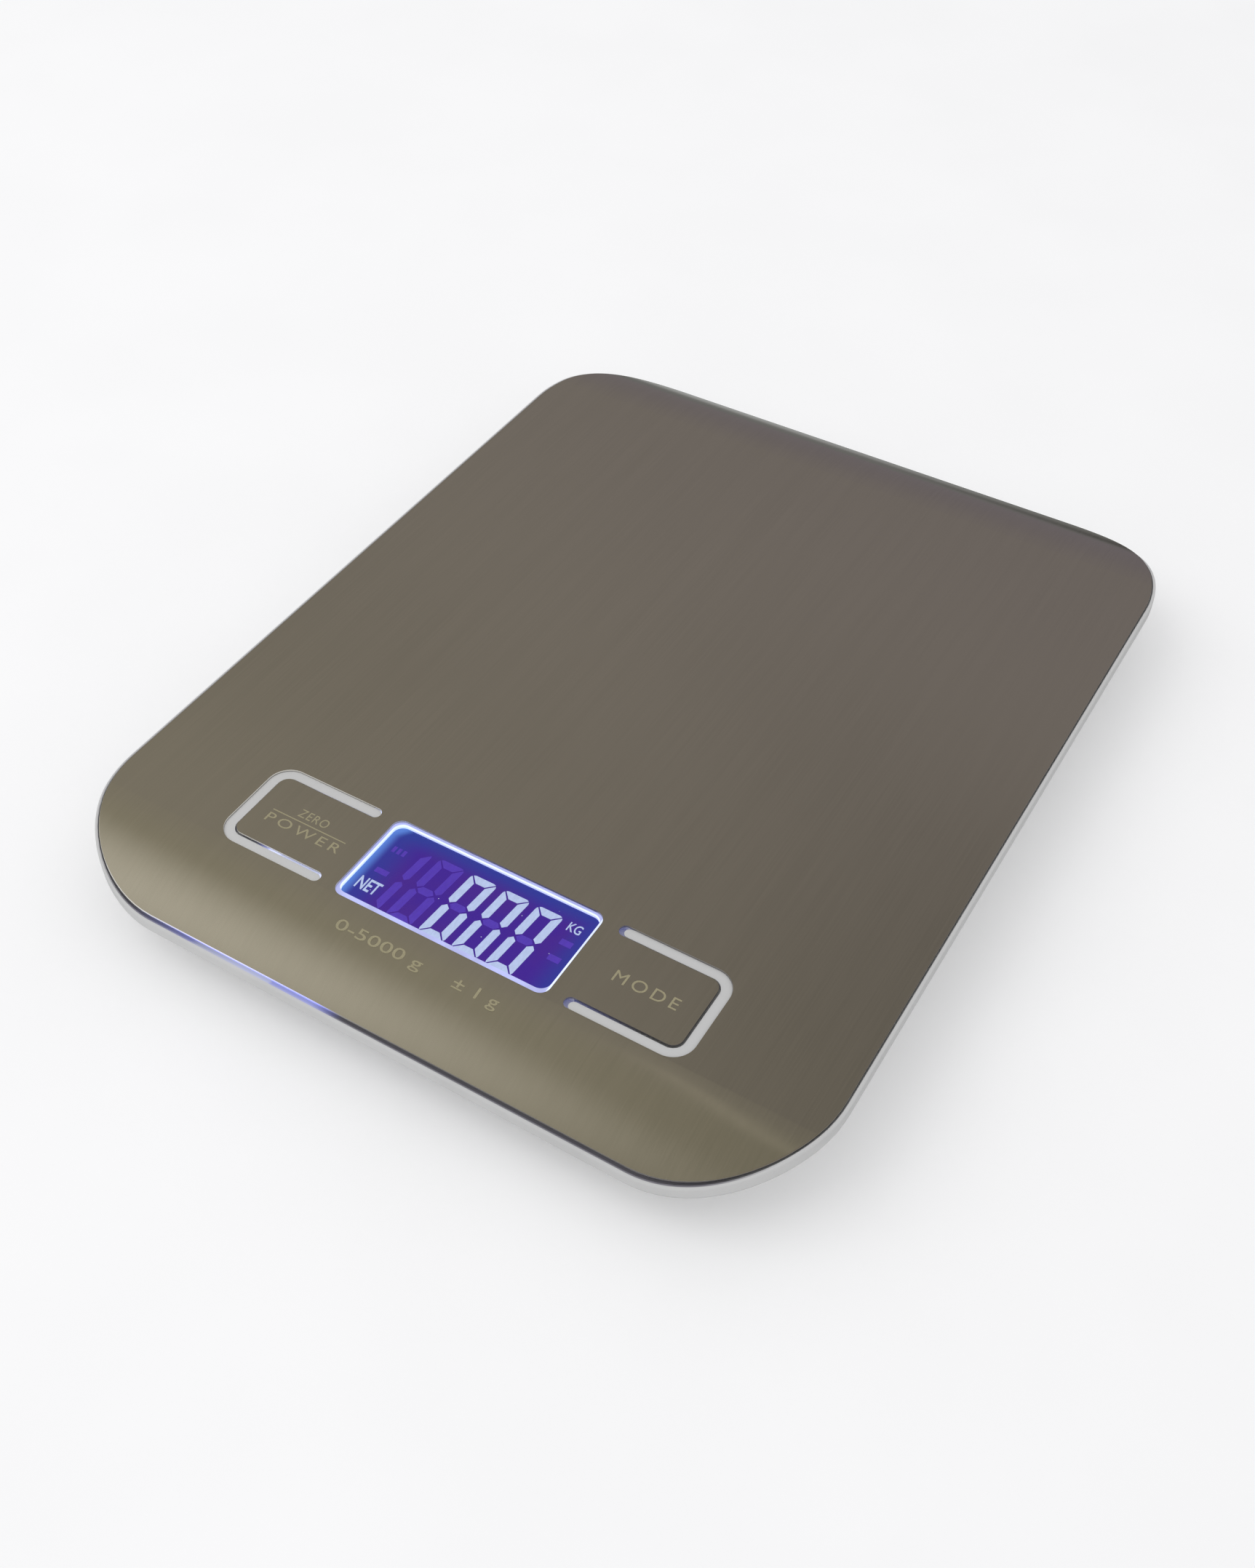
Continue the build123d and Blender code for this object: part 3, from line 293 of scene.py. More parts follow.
# ---- white mouldings ---------------------------------------------------------------------
def from_outline(g, place):
    """How far inside the moulding's plan outline a place is, in mm, close to the outline."""
    x, y, z = g.split(place)
    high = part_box("upper_housing")[1] / MM
    over_x = g.math("MAXIMUM", g.math("SUBTRACT", g.math("ABSOLUTE", x), high.x - OUTLINE_R), 0.0)
    over_y = g.math("MAXIMUM", g.math("SUBTRACT", g.math("ABSOLUTE", y), high.y - OUTLINE_R), 0.0)
    from_corner = g.math("SQRT", g.math("ADD", g.times(over_x, over_x), g.times(over_y, over_y)))
    return g.math("SUBTRACT", OUTLINE_R, from_corner)


def in_groove(g, place):
    """1 on the inner half of the lip and in the gap between it and the sheet, 0 on the underside."""
    up = g.split(g.add("ShaderNodeNewGeometry").outputs["Normal"])[2]
    return g.times(g.between(from_outline(g, place), *GROOVE, 0.10), g.fade(up, -0.6, -0.2))


def front_glow(g, x):
    """How strongly the display's light shows in the front groove: most left of the middle."""
    return g.times(g.fade(x, *GLOW_RISE), g.fade(x, *GLOW_FALL))


def housing_glow(g, place):
    """Light of the display that reaches the white moulding, as colour and strength: strong in the left
    key's pocket, weak in the right one's, and along part of the front groove."""
    x, y, z = g.split(place)
    in_pockets = g.times(g.between(z, *POCKET_Z, 0.06), g.between(y, *POCKET_Y, 1.0))
    by_window = g.fade(x, -20.0, -21.0)
    left = g.times(g.fade(x, -38.5, -35.5), by_window)
    right = g.times(g.fade(x, 38.0, 22.0), g.fade(x, 20.0, 21.0))
    pockets = g.math("ADD", g.times(left, LEFT_GLOW), g.times(right, RIGHT_GLOW))
    pockets = g.math("ADD", pockets, g.times(g.between(x, *SPOT_X, 0.5), SPOT_GLOW))
    groove = g.times(in_groove(g, place), g.fade(y, -86.0, -88.0), front_glow(g, x))
    strength = g.math("ADD", g.times(pockets, in_pockets), g.times(groove, GROOVE_GLOW))
    left_key = g.times(g.fade(x, -38.0, -35.0), by_window)
    whiter = g.math("MAXIMUM", left_key, g.times(groove, 0.4))
    return g.mix(whiter, GLOW_BLUE, GLOW_WHITE), strength


def groove_shade(g, place):
    """Shadow in the groove, along the front and the left side, where the gap to the sheet is widest."""
    x, y, z = g.split(place)
    front = g.times(g.fade(y, -78.0, -88.0), g.fade(x, -62.0, -50.0, 0.45, 1.0))
    where = g.math("MAXIMUM", front, g.fade(x, -58.0, -66.0, 0.0, 0.45))
    return g.times(in_groove(g, place), where)


def white_plastic(name):
    """Satin white moulding, with a fine spark-eroded texture and a little handling dirt."""
    material, g = new_material(name)
    place = g.place()
    texture = g.noise(place, 3.5, 4.0)
    dirt = g.noise(place, 0.06, 4.0)
    colour = g.mix(g.fade(dirt, 0.45, 0.80), WHITE_PLASTIC, tuple(0.94 * c for c in WHITE_PLASTIC))
    colour = g.mix(g.times(groove_shade(g, place), 0.85), colour, GROOVE_SHADE)
    glow, strength = housing_glow(g, place)
    shader = principled(g, {
        "Base Color": colour,
        "Roughness": g.fade(texture, 0.3, 0.7, 0.42, 0.56),
        "Specular IOR Level": 0.4,
        "Subsurface Weight": 0.05,
        "Subsurface Radius": (1.0 * MM, 1.0 * MM, 0.9 * MM),
        "Emission Color": glow,
        "Emission Strength": strength,
        "Normal": g.bump(texture, 0.006),
    })
    g.surface(shader)
    return material


def lit_frame(name):
    """Translucent frame round the window, lit from below: lilac with a bright line at the cover's edge."""
    material, g = new_material(name)
    place = g.place()
    x, y, z = g.split(place)
    lens_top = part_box("display_window")[1].z / MM
    line = g.between(z, lens_top - 0.25, lens_top + 0.30, 0.20)
    cloud = g.noise(place, (0.25, 0.25, 1.5), 3.0)
    strength = g.fade(cloud, 0.25, 0.75, 0.68, 0.95)
    right_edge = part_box("display_window")[1].x / MM
    line = g.math("MAXIMUM", line, g.times(g.fade(x, right_edge, right_edge + 0.1), 0.8))
    colour = g.mix(line, GLOW_LILAC, LIT_LINE)
    shader = principled(g, {
        "Base Color": (0.20, 0.20, 0.25),
        "Roughness": g.fade(cloud, 0.2, 0.8, 0.3, 0.42),
        "Emission Color": colour,
        "Emission Strength": g.math("ADD", strength, g.times(line, 0.35)),
        "Normal": g.bump(cloud, 0.01),
    })
    g.surface(shader)
    return material


# ---- display -----------------------------------------------------------------------------
def lcd_background(name):
    """Backlit cell: indigo in the middle, blue to the right and the back, teal by the lamps on the left."""
    material, g = new_material(name)
    place = g.place()
    x, y, z = g.split(place)
    low, high = (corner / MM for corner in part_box("lcd_panel"))
    cloud = g.noise(place, 0.16, 2.0)
    colour = g.mix(g.fade(cloud, 0.35, 0.70), LCD_INDIGO, LCD_INDIGO_WARM)
    back, right = g.fade(y, high.y - 5.5, high.y - 1.5), g.fade(x, high.x - 7.0, high.x - 1.5)
    colour = g.mix(g.times(g.math("MAXIMUM", back, right), 0.75), colour, LCD_BLUE)
    left = g.math("ADD", x, g.fade(y, high.y - 4.0, high.y - 1.0, 0.0, -1.6))
    colour = g.mix(g.times(g.fade(left, low.x + 9.0, low.x + 3.5), 0.6), colour, LCD_BLUE)
    colour = g.mix(g.fade(left, low.x + 3.5, low.x + 1.4), colour, LCD_TEAL)
    specks = g.add("ShaderNodeTexVoronoi", {"Vector": place, "Scale": 0.45}).outputs["Distance"]
    colour = g.mix(g.fade(specks, 0.05, 0.02), colour, LCD_SPECK)
    shader = principled(g, {
        "Base Color": (0.01, 0.01, 0.03),
        "Roughness": g.fade(cloud, 0.2, 0.8, 0.15, 0.3),
        "Emission Color": colour,
        "Emission Strength": 1.0,
    })
    g.surface(shader)
    return material


def lcd_ink(name, colour, strength):
    """Segments and words of the display, lit or only just showing."""
    material, g = new_material(name)
    weave = g.noise(g.place(), (2.5, 0.8, 1.0), 2.0)
    shader = principled(g, {
        "Base Color": (0.02, 0.02, 0.03),
        "Roughness": 0.4,
        "Emission Color": g.mix(g.fade(weave, 0.3, 0.7), colour, tuple(0.9 * c for c in colour)),
        "Emission Strength": strength,
    })
    g.surface(shader)
    return material


def clear_acrylic(name):
    """Clear moulded cover with faint rub marks, its edges lit from below."""
    material, g = new_material(name)
    rub = g.noise(g.place(), (1.2, 0.15, 0.5), 4.0)
    up = g.math("ABSOLUTE", g.split(g.add("ShaderNodeNewGeometry").outputs["Normal"])[2])
    shader = principled(g, {
        "Base Color": (0.985, 0.99, 1.0),
        "Roughness": g.fade(rub, 0.55, 0.80, 0.0, 0.05),
        "IOR": 1.49,
        "Transmission Weight": 1.0,
        "Emission Color": GLOW_WHITE,
        "Emission Strength": g.fade(up, 0.5, 0.3, 0.0, 0.95),
    })
    g.surface(shader)
    return material


# ---- general finishes --------------------------------------------------------------------
def plastic(name, colour, roughness=0.5, grain_per_mm=4.0, relief_mm=0.004, **more):
    """Moulded plastic, rubber or resin: colour drifting a little, with a fine grain."""
    material, g = new_material(name)
    place = g.place()
    grain = g.noise(place, grain_per_mm, 3.0)
    drift = g.noise(place, 0.12, 3.0)
    inputs = {
        "Base Color": g.mix(g.fade(drift, 0.3, 0.7), colour, tuple(0.82 * c for c in colour)),
        "Roughness": g.fade(grain, 0.2, 0.8, roughness - 0.08, min(1.0, roughness + 0.1)),
        "Normal": g.bump(grain, relief_mm),
    }
    inputs.update(more)
    g.surface(principled(g, inputs))
    return material


def metal(name, colour, roughness, lines, relief_mm=0.002):
    """Worked metal with tool lines, as dense as lines says: features per mm along x, y and z."""
    material, g = new_material(name)
    place = g.place()
    marks = g.noise(place, lines, 4.0)
    stain = g.noise(place, 0.2, 3.0)
    shader = principled(g, {
        "Base Color": g.mix(g.fade(stain, 0.35, 0.75), colour, tuple(0.78 * c for c in colour)),
        "Metallic": 1.0,
        "Roughness": g.fade(marks, 0.25, 0.75, roughness - 0.07, roughness + 0.1),
        "Normal": g.bump(marks, relief_mm),
    })
    g.surface(shader)
    return material


def galvanised(name):
    """Zinc-coated sheet with a spangle of crystals."""
    material, g = new_material(name)
    crystals = g.add("ShaderNodeTexVoronoi", {"Vector": g.place(), "Scale": 0.35}).outputs["Color"]
    shade = g.split(crystals)[0]
    shader = principled(g, {
        "Base Color": g.mix(shade, (0.50, 0.52, 0.54), (0.70, 0.71, 0.72)),
        "Metallic": 1.0,
        "Roughness": g.fade(shade, 0.0, 1.0, 0.28, 0.48),
    })
    g.surface(shader)
    return material


def striped(name, axis, per_mm, first, second, roughness):
    """Even stripes across one axis, as in a conductive rubber strip or the winding of a foil gauge."""
    material, g = new_material(name)
    along = g.split(g.place())[axis]
    wave = g.math("SINE", g.times(along, per_mm * 2 * math.pi))
    shader = principled(g, {
        "Base Color": g.mix(g.fade(wave, -0.4, 0.4), first, second),
        "Roughness": g.fade(wave, -1.0, 1.0, roughness, roughness + 0.15),
    })
    g.surface(shader)
    return material


def circuit_board(name):
    """Green solder resist over copper tracks that run both ways."""
    material, g = new_material(name)
    place = g.place()
    x, y, z = g.split(place)
    lane = g.math("SINE", g.times(g.math("ADD", y, g.times(g.noise(place, 0.05, 0.0), 12.0)), 2.6))
    cross = g.math("SINE", g.times(x, 1.9))
    between_lanes = g.times(g.fade(cross, 0.8, 0.9), g.fade(lane, 0.4, 0.1))
    tracks = g.math("MAXIMUM", g.fade(lane, 0.55, 0.7), between_lanes)
    shader = principled(g, {
        "Base Color": g.mix(tracks, (0.012, 0.105, 0.045), (0.030, 0.190, 0.075)),
        "Roughness": g.fade(g.noise(place, 2.0), 0.2, 0.8, 0.3, 0.42),
        "Coat Weight": 0.4,
        "Normal": g.bump(tracks, 0.03),
    })
    g.surface(shader)
    return material


def battery_jacket(name):
    """Plain sleeve, dark with a copper band at each cell's button end, and bare metal ends."""
    material, g = new_material(name)
    place = g.place()
    x, y, z = g.split(place)
    middle_y = (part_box("battery_cells")[0].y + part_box("battery_cells")[1].y) / 2 / MM
    towards_button = g.times(x, g.fade(y, middle_y + 0.1, middle_y - 0.1, -1.0, 1.0))
    band = g.fade(towards_button, 9.5, 9.7)
    bare = g.math("MAXIMUM", g.fade(towards_button, 21.6, 21.7), g.fade(towards_button, -21.2, -21.3))
    scuff = g.noise(place, (1.5, 4.0, 4.0), 4.0)
    sleeve = g.mix(band, (0.020, 0.022, 0.028), (0.42, 0.19, 0.075))
    shader = principled(g, {
        "Base Color": g.mix(bare, sleeve, (0.62, 0.61, 0.58)),
        "Metallic": g.math("MAXIMUM", bare, g.times(band, 0.7)),
        "Roughness": g.fade(scuff, 0.35, 0.75, 0.22, 0.42),
        "Coat Weight": 0.3,
    })
    g.surface(shader)
    return material


def wire_sleeves(name, axis, start, step, colours):
    """Each wire of a group gets its own colour, told apart by where it lies across the run."""
    material, g = new_material(name)
    place = g.place()
    across = g.split(place)[axis]
    colour = colours[0]
    for index, next_colour in enumerate(colours[1:]):
        edge = start + step * (index + 0.5)
        colour = g.mix(g.fade(across, edge, edge + 0.02 * step), colour, next_colour)
    shader = principled(g, {
        "Base Color": colour,
        "Roughness": g.fade(g.noise(place, 3.0), 0.2, 0.8, 0.35, 0.5),
        "Normal": g.bump(g.noise(place, 5.0), 0.004),
    })
    g.surface(shader)
    return material


RED, BLACK = (0.45, 0.02, 0.02), (0.015, 0.015, 0.015)
WHITE, GREEN = (0.72, 0.72, 0.70), (0.02, 0.22, 0.06)
FINISHES = {
    "stainless_sheet": brushed_steel,
    "white_plastic": white_plastic,
    "adhesive_film": lambda name: plastic(name, (0.62, 0.56, 0.42), 0.6),
    "clear_acrylic": clear_acrylic,
    "lit_frame": lit_frame,
    "lcd": lcd_background,
    "led_resin": lambda name: plastic(
        name, (0.75, 0.76, 0.62), 0.3, **{"Emission Color": (0.35, 0.50, 1.0), "Emission Strength": 3.0}
    ),
    "grey_elastomer": lambda name: striped(name, 0, 4.0, (0.40, 0.40, 0.41), (0.02, 0.02, 0.02), 0.6),
    "green_board": circuit_board,
    "black_resin": lambda name: plastic(name, (0.012, 0.012, 0.013), 0.28, 1.2, 0.02),
    "component_ceramic": lambda name: plastic(name, (0.32, 0.25, 0.17), 0.5),
    "switch_stem": lambda name: plastic(name, (0.02, 0.02, 0.02), 0.45),
    "zinc_screw": lambda name: metal(name, (0.66, 0.66, 0.62), 0.30, (3.0, 3.0, 0.6)),
    "galvanised_plate": galvanised,
    "beam_aluminium": lambda name: metal(name, (0.78, 0.78, 0.79), 0.32, (0.4, 5.0, 5.0)),
    "gauge_foil": lambda name: striped(name, 0, 3.0, (0.60, 0.36, 0.13), (0.42, 0.22, 0.08), 0.35),
    "white_silicone": lambda name: plastic(name, (0.78, 0.78, 0.76), 0.55, 0.8, 0.06),
    "foot_rubber": lambda name: plastic(name, (0.10, 0.10, 0.10), 0.78, 2.5, 0.02),
    "battery_jacket": battery_jacket,
    "nickel_plate": lambda name: metal(name, (0.68, 0.65, 0.60), 0.22, (2.0, 2.0, 2.0)),
    "wire_red": lambda name: wire_sleeves(name, 0, -22.0, -1.6, (RED, BLACK)),
    "wire_white": lambda name: wire_sleeves(name, 0, 14.0, 1.2, (RED, BLACK, WHITE, GREEN)),
}


def dress_cad_nodes():
    """Gives every carried-over CAD node the finish of its material slot."""
    finishes = {name: make(name) for name, make in FINISHES.items()}
    for node, obj in frame["nodes"].items():
        obj.data.materials.clear()
        obj.data.materials.append(finishes[SLOT_OF[node]])


# ---- pieces that bend as the platform settles under a load ----------------------------------
def bend_with_platform(node, tray_end, platform_end):
    """Shows a node as a copy with rows of points added between two y, in mm, and hides the original."""
    original = frame["nodes"][node]
    data = original.data.copy()
    cut_across(data, tray_end, platform_end)
    bent = bpy.data.objects.new(node + "_bent", data)
    bpy.context.scene.collection.objects.link(bent)
    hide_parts(node)
    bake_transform(bent)


def cut_across(data, first, last):
    """Gives a mesh rows of points between two y."""
    mesh = bmesh.new()
    mesh.from_mesh(data)
    for step in range(BEND_ROWS + 1):
        at = (0, (first + (last - first) * step / BEND_ROWS) * MM, 0)
        everything = [*mesh.verts, *mesh.edges, *mesh.faces]
        bmesh.ops.bisect_plane(mesh, geom=everything, dist=1e-7, plane_co=at, plane_no=(0, 1, 0))
    mesh.to_mesh(data)
    mesh.free()


def add_bending_pieces():
    """The weighing beam with its gauges and their coat, and the wires that run up to the board."""
    for node in ("load_cell", "strain_gauges", "gauge_coating"):
        bend_with_platform(node, BEAM_FLEX, -BEAM_FLEX)
    for node in ("load_cell_wires", "battery_wires"):
        bend_with_platform(node, *WIRE_FLEX)


# ---- printed shapes ----------------------------------------------------------------------
def prism(outlines, low_z, thickness):
    """Closed thin solids over flat outlines, as one mesh. Outlines in mm, heights in metres."""
    mesh = bmesh.new()
    for outline in outlines:
        base = [mesh.verts.new((x * MM, y * MM, low_z)) for x, y in outline]
        top = [mesh.verts.new((x * MM, y * MM, low_z + thickness)) for x, y in outline]
        mesh.faces.new(reversed(base))
        mesh.faces.new(top)
        for index, corner in enumerate(base):
            after = (index + 1) % len(base)
            mesh.faces.new((corner, base[after], top[after], top[index]))
    bmesh.ops.recalc_face_normals(mesh, faces=mesh.faces)
    data = bpy.data.meshes.new("print")
    mesh.to_mesh(data)
    mesh.free()
    return data


def add_piece(name, data, material, body):
    piece = bpy.data.objects.new(name, data)
    bpy.context.scene.collection.objects.link(piece)
    data.materials.append(material)
    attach(piece, body)
    return piece


def corner_arc(centre, radius, start_deg, end_deg, steps=5):
    angles = [math.radians(start_deg + (end_deg - start_deg) * i / steps) for i in range(steps + 1)]
    return [(centre[0] + radius * math.cos(a), centre[1] + radius * math.sin(a)) for a in angles]


def upper_left_bar():
    """Upright bar from the digit's middle to its rounded upper left corner."""
    middle = DIGIT_H / 2
    arc = corner_arc((CORNER, DIGIT_H - CORNER), CORNER, 180, 142)
    inner_top = (BAR_X, DIGIT_H - BAR_Y - 0.75 * BAR_GAP)
    tip = (TIP * BAR_X, middle + TIP_GAP)
    return [tip, (0, middle + SHOULDER), *arc, inner_top, (BAR_X, middle + SHOULDER)]


def top_bar():
    """Level bar along the digit's top, cut square to its corners' diagonals."""
    left = corner_arc((CORNER, DIGIT_H - CORNER), CORNER, 128, 90)
    right = [(DIGIT_W - x, y) for x, y in reversed(left)]
    inner_y = DIGIT_H - BAR_Y
    inset = BAR_X + 0.75 * BAR_GAP
    return [*left, *right, (DIGIT_W - inset, inner_y), (inset, inner_y)]


def middle_bar():
    """Level bar across the digit's middle, pointed at both ends."""
    middle, half = DIGIT_H / 2, BAR_Y / 2
    end, shoulder = MIDDLE_END, MIDDLE_SHOULDER
    return [
        (end, middle), (shoulder, middle + half), (DIGIT_W - shoulder, middle + half),
        (DIGIT_W - end, middle), (DIGIT_W - shoulder, middle - half), (shoulder, middle - half),
    ]


def mirror_x(outline):
    return [(DIGIT_W - x, y) for x, y in outline]


def mirror_y(outline):
    return [(x, DIGIT_H - y) for x, y in outline]


def segments(which):
    """Outlines of the named segments: a is the top one, then clockwise to f, and g in the middle."""
    upper_left, top = upper_left_bar(), top_bar()
    shapes = {
        "a": top, "b": mirror_x(upper_left), "c": mirror_y(mirror_x(upper_left)),
        "d": mirror_y(top), "e": mirror_y(upper_left), "f": upper_left, "g": middle_bar(),
    }
    return [shapes[letter] for letter in which]


def digit(position, which):
    """Slanted segments of the digit at a position, counted from the first lit one."""
    left = DIGIT_LEFT + DIGIT_PITCH * position
    lean = math.tan(DIGIT_SLANT)
    return [[(left + x + y * lean, DIGIT_LOW + y) for x, y in outline] for outline in segments(which)]


def rectangle(left, low, width, height):
    return [(left, low), (left + width, low), (left + width, low + height), (left, low + height)]


def repeated(block, count, across=0.0, down=0.0):
    left, low, width, height = block
    return [rectangle(left + across * i, low - down * i, width, height) for i in range(count)]


def text(name, words, material, body, centre, height_mm, width_mm, tilt=0.0, spacing=1.0, bolder=0.0):
    """Plain lettering, flat on a surface, scaled to a height and a width. bolder widens its strokes."""
    data = bpy.data.curves.new(name, "FONT")
    data.body = words
    data.align_x, data.align_y = "CENTER", "CENTER"
    data.size = 1.0
    data.space_character = spacing
    data.extrude = PRINT_T * MM / 2
    data.offset = bolder
    data.resolution_u = 4
    piece = bpy.data.objects.new(name, data)
    bpy.context.scene.collection.objects.link(piece)
    bpy.context.view_layer.update()
    size = piece.dimensions
    across, along = width_mm * MM / size.x, height_mm * MM / size.y
    mesh = bpy.data.meshes.new_from_object(piece)
    bpy.data.objects.remove(piece)
    mesh.transform(Matrix.Diagonal((across, along, 1.0, 1.0)))
    corners = [v.co for v in mesh.vertices]
    middle = Vector([(min(c[i] for c in corners) + max(c[i] for c in corners)) / 2 for i in range(3)])
    mesh.transform(Matrix.Translation(-middle))
    mesh.transform(Matrix.Translation(centre) @ Matrix.Rotation(tilt, 4, "X"))
    weld(mesh)
    return add_piece(name, mesh, material, body)


def weld(mesh):
    """Joins the doubled points of converted lettering, so each letter is closed."""
    shape = bmesh.new()
    shape.from_mesh(mesh)
    bmesh.ops.remove_doubles(shape, verts=shape.verts, dist=1e-7)
    bmesh.ops.recalc_face_normals(shape, faces=shape.faces)
    shape.to_mesh(mesh)
    shape.free()


# ---- display contents --------------------------------------------------------------------
def add_display():
    """Lit and unlit segments and words, on the display cell's face."""
    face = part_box("lcd_panel")[1].z
    ink = PRINT_T * MM
    lit = lcd_ink("display_lit", LCD_LIT, 1.0)
    unlit = lcd_ink("display_unlit", LCD_UNLIT, 1.0)
    zeros = [outline for place in range(3) for outline in digit(place, "abcdef")]
    add_piece("display_digits", prism(zeros, face, ink), lit, "platform")

    ghosts = [outline for place in range(3) for outline in digit(place, "g")]
    ghosts += digit(-1, "abcdefg") + digit(-2, "bc")
    ghosts.append(rectangle(*MINUS))
    ghosts += repeated(TICK, 3, across=TICK_PITCH)
    ghosts += repeated(UNIT_BLOCK, 2, down=UNIT_BLOCK_PITCH)
    add_piece("display_unlit_segments", prism(ghosts, face, ink), unlit, "platform")

    word_at = Vector((WORD_X * MM, WORD_Y * MM, face + ink / 2))
    text("display_word", "NET", lit, "platform", word_at, 2.7, 4.3, bolder=0.018)
    unit_at = Vector((UNIT_X * MM, UNIT_Y * MM, face + ink / 2))
    text("display_unit", "KG", lit, "platform", unit_at, 1.9, 2.5, bolder=0.010)


# ---- legends -----------------------------------------------------------------------------
def add_legends():
    """Plain function legends on the keys and the range on the front strip."""
    ink = etched("legend")
    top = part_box("power_key")[1].z
    level = top + PRINT_T * MM / 4

    def on_key(name, words, key, x, y, height, width, spacing):     # in mm, but for the spacing
        spot = Vector((x * MM, y * MM, level))
        text(name, words, ink, key, spot, height, width, spacing=spacing)

    on_key("legend_zero", "ZERO", "power_key", -32.7, -61.4, 1.8, 6.0, 1.1)
    on_key("legend_power", "POWER", "power_key", -32.4, -64.85, 2.0, 15.3, 1.35)
    on_key("legend_mode", "MODE", "unit_key", 33.6, -63.2, 2.3, 11.6, 1.35)
    line = prism([rectangle(*LEGEND_LINE)], top - PRINT_T * MM / 4, PRINT_T * MM)
    add_piece("legend_line", line, ink, "power_key")

    def on_front(name, words, x, width):
        spot, tilt = on_front_bend(x, FRONT_LEGEND_Y)
        height = FRONT_LEGEND_H
        text(name, words, ink, "platform", spot, height, width, tilt, bolder=0.004)

    on_front("legend_range", "0-5000 g", -7.4, 16.8)
    on_front("legend_step", "\u00b1 1 g", 11.2, 8.4)


def on_front_bend(x, y):
    """A place on the curved front of the sheet, a little proud of it, and the sheet's tilt there."""
    low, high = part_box("platform_sheet")
    radius = (BEND_RUN**2 + BEND_DROP**2) / (2 * BEND_DROP)
    beyond = low.y / MM + BEND_RUN - y
    tilt = math.asin(beyond / radius)
    z = high.z - (radius - radius * math.cos(tilt)) * MM
    lift = PRINT_T * MM / 2
    return Vector((x * MM, y * MM - lift * math.sin(tilt), z + lift * math.cos(tilt))), tilt


# ---- studio ------------------------------------------------------------------------------
def add_floor():
    """Pale floor, clear from below. Polished surfaces see it as a table lit from the left."""
    data = bpy.data.meshes.new("floor")
    half = FLOOR_SIZE / 2
    corners = [(-half, -half, 0), (half, -half, 0), (half, half, 0), (-half, half, 0)]
    data.from_pydata(corners, [], [(0, 1, 2, 3)])
    floor = bpy.data.objects.new("floor", data)
    bpy.context.scene.collection.objects.link(floor)
    material, g = new_material("floor")
    place = g.place()
    drift = g.fade(g.noise(place, 0.02, 3.0), 0.3, 0.7)
    colour = g.mix(drift, FLOOR_COLOUR, tuple(0.985 * c for c in FLOOR_COLOUR))
    matt = g.add("ShaderNodeBsdfDiffuse", {"Color": colour}).outputs[0]
    glow = g.add("ShaderNodeEmission", {"Color": colour, "Strength": FLOOR_GLOW}).outputs[0]
    matt = g.add("ShaderNodeAddShader", {0: matt, 1: glow}).outputs[0]
    rays = g.add("ShaderNodeLightPath").outputs
    x, y, z = g.split(place)
    table = g.mix(g.fade(x, *TABLE_FADE_MM), TABLE_LEFT, TABLE_RIGHT)
    strength = g.fade(y, *TABLE_FAR_MM, 1.0, TABLE_FAR)
    mirrored = g.add("ShaderNodeEmission", {"Color": table, "Strength": strength}).outputs[0]
    matt = g.add("ShaderNodeMixShader", {0: rays["Is Glossy Ray"], 1: matt, 2: mirrored}).outputs[0]
    below = g.times(g.add("ShaderNodeNewGeometry").outputs["Backfacing"], rays["Is Camera Ray"])
    clear = g.add("ShaderNodeBsdfTransparent").outputs[0]
    g.surface(g.add("ShaderNodeMixShader", {0: below, 1: matt, 2: clear}).outputs[0])
    data.materials.append(material)


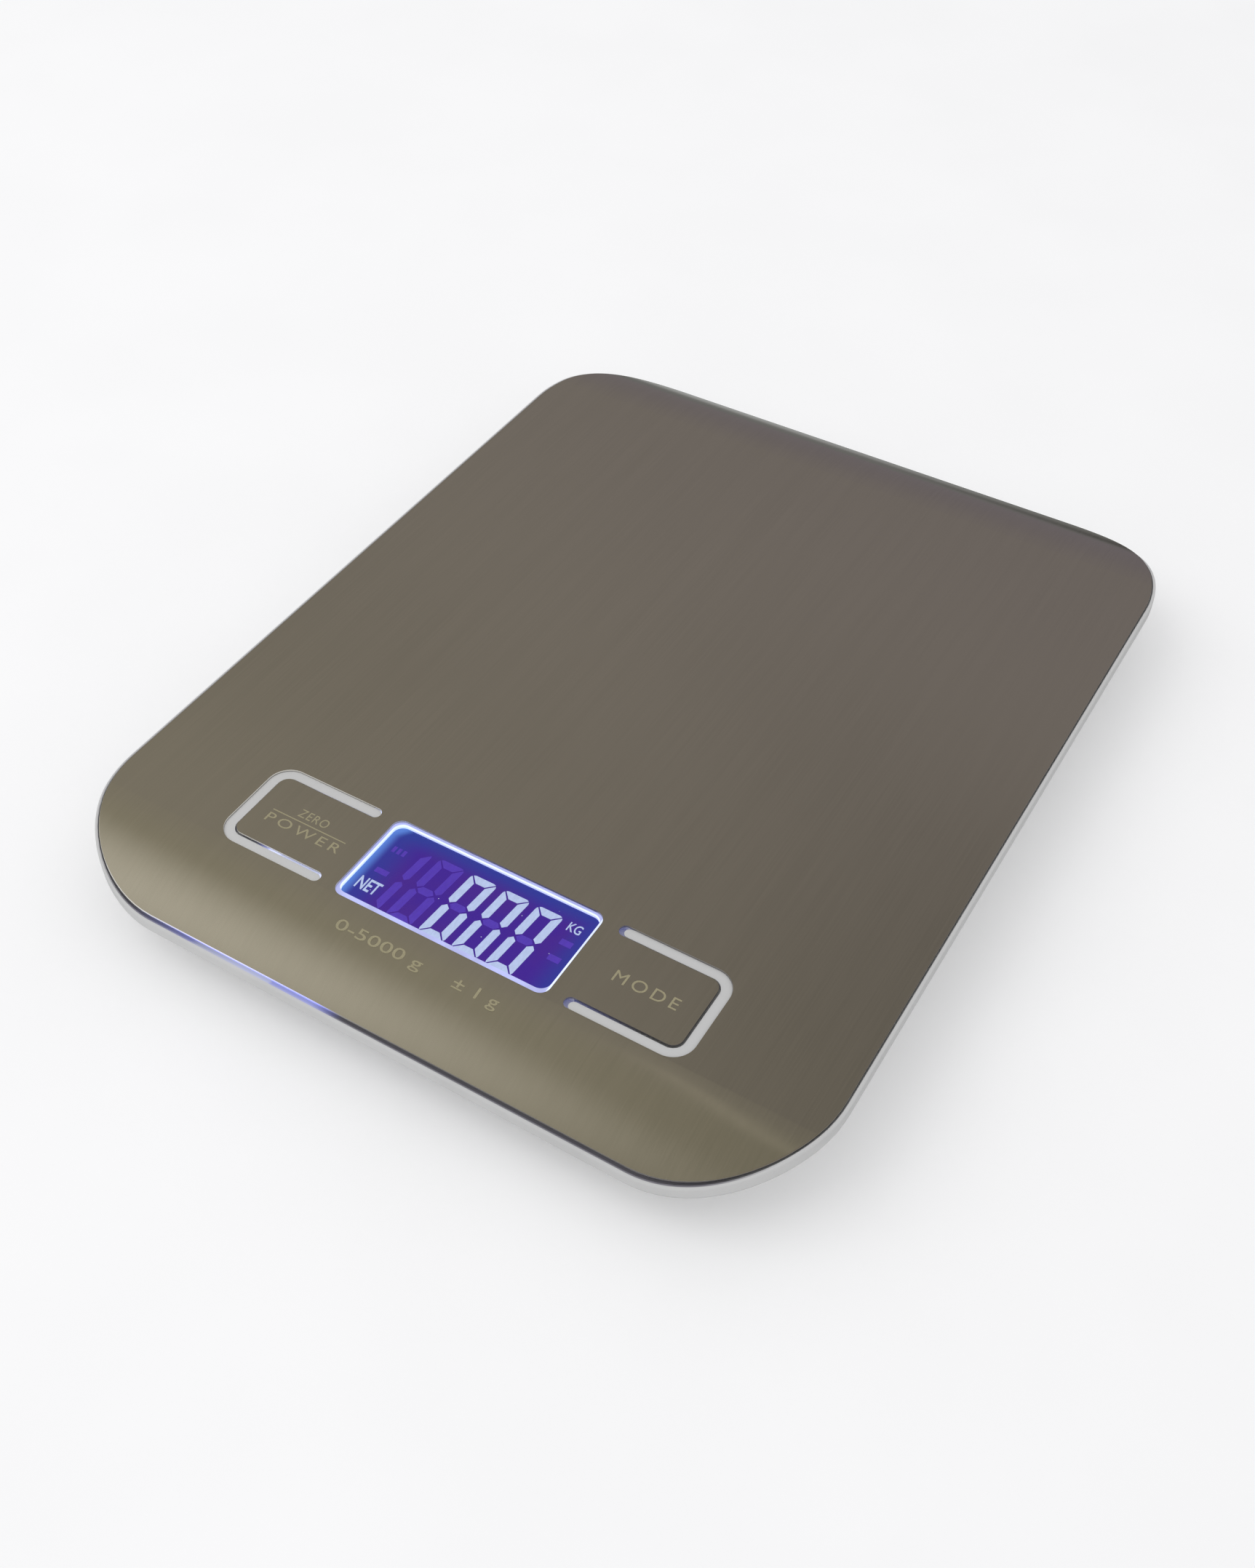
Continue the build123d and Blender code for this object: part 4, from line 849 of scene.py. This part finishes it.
def add_world():
    """A white dome for matt surfaces, a dim warm studio with one softbox for polished ones."""
    world = bpy.data.worlds.new("studio")
    world.use_nodes = True
    bpy.context.scene.world = world
    g = Graph(world.node_tree)
    direction = g.add("ShaderNodeTexCoord").outputs["Generated"]
    towards = SOFTBOX_TOWARDS.normalized()
    facing = g.add("ShaderNodeVectorMath", {0: direction, 1: towards}, operation="DOT_PRODUCT")
    x, y, z = g.split(direction)
    polished = g.mix(g.fade(y, *ROOM_TURN), ROOM_OVERHEAD, ROOM_BEHIND)
    shade = g.times(g.fade(x, *SHADE_X), g.fade(y, *SHADE_Y), ROOM_SHADE)
    polished = g.mix(shade, polished, (0.0, 0.0, 0.0))
    band = g.times(g.between(y, *CEILING_BAND, BAND_EDGE), g.fade(z, 0.3, 0.5), BAND_SHADE)
    polished = g.mix(band, polished, (0.0, 0.0, 0.0))
    polished = g.mix(g.fade(facing.outputs["Value"], *SOFTBOX_FADE), polished, SOFTBOX)
    from_line = g.math("SUBTRACT", g.math("ADD", g.times(x, 2.0), y), GAP_LINE)
    gap = g.fade(g.math("ABSOLUTE", from_line), *GAP_FADE)
    gap = g.times(gap, g.between(x, *GAP_X, GAP_X_EDGE), g.fade(z, 0.0, 0.1))
    brighter = g.add("ShaderNodeVectorMath", {0: polished, 1: CEILING_GAP}, operation="ADD").outputs[0]
    polished = g.mix(gap, polished, brighter)
    rays = g.add("ShaderNodeLightPath").outputs
    seen = g.mix(rays["Is Glossy Ray"], DOME, polished)
    seen = g.mix(rays["Is Camera Ray"], seen, PALE)
    back = g.add("ShaderNodeBackground", {"Color": seen}).outputs[0]
    g.add("ShaderNodeOutputWorld", {"Surface": back})


def add_softbox(name, at, aim, size, watts):
    """Soft area light that polished surfaces don't mirror."""
    data = bpy.data.lights.new(name, "AREA")
    data.shape = "SQUARE"
    data.size = size
    data.energy = watts
    light = bpy.data.objects.new(name, data)
    light.location = at
    light.rotation_euler = (aim - at).to_track_quat("-Z", "Y").to_euler()
    light.visible_glossy = False
    bpy.context.scene.collection.objects.link(light)


def add_camera():
    data = bpy.data.cameras.new("camera")
    data.lens = LENS_MM
    data.sensor_width = SENSOR_MM
    data.clip_start, data.clip_end = 0.01, 50.0
    camera = bpy.data.objects.new("camera", data)
    look = (CAMERA_AIM - CAMERA_AT).to_track_quat("-Z", "Y")
    roll = Matrix.Rotation(CAMERA_ROLL, 3, "Z").to_quaternion()
    camera.location = CAMERA_AT
    camera.rotation_mode = "QUATERNION"
    camera.rotation_quaternion = look @ roll
    bpy.context.scene.collection.objects.link(camera)
    bpy.context.scene.camera = camera


dress_cad_nodes()
add_bending_pieces()
add_display()
add_legends()
add_floor()
add_world()
add_softbox("key_light", KEY_LIGHT_AT, Vector((0, 0, 0)), KEY_LIGHT_SIZE, KEY_LIGHT_WATTS)
add_camera()
bpy.context.scene.view_settings.view_transform = "Standard"
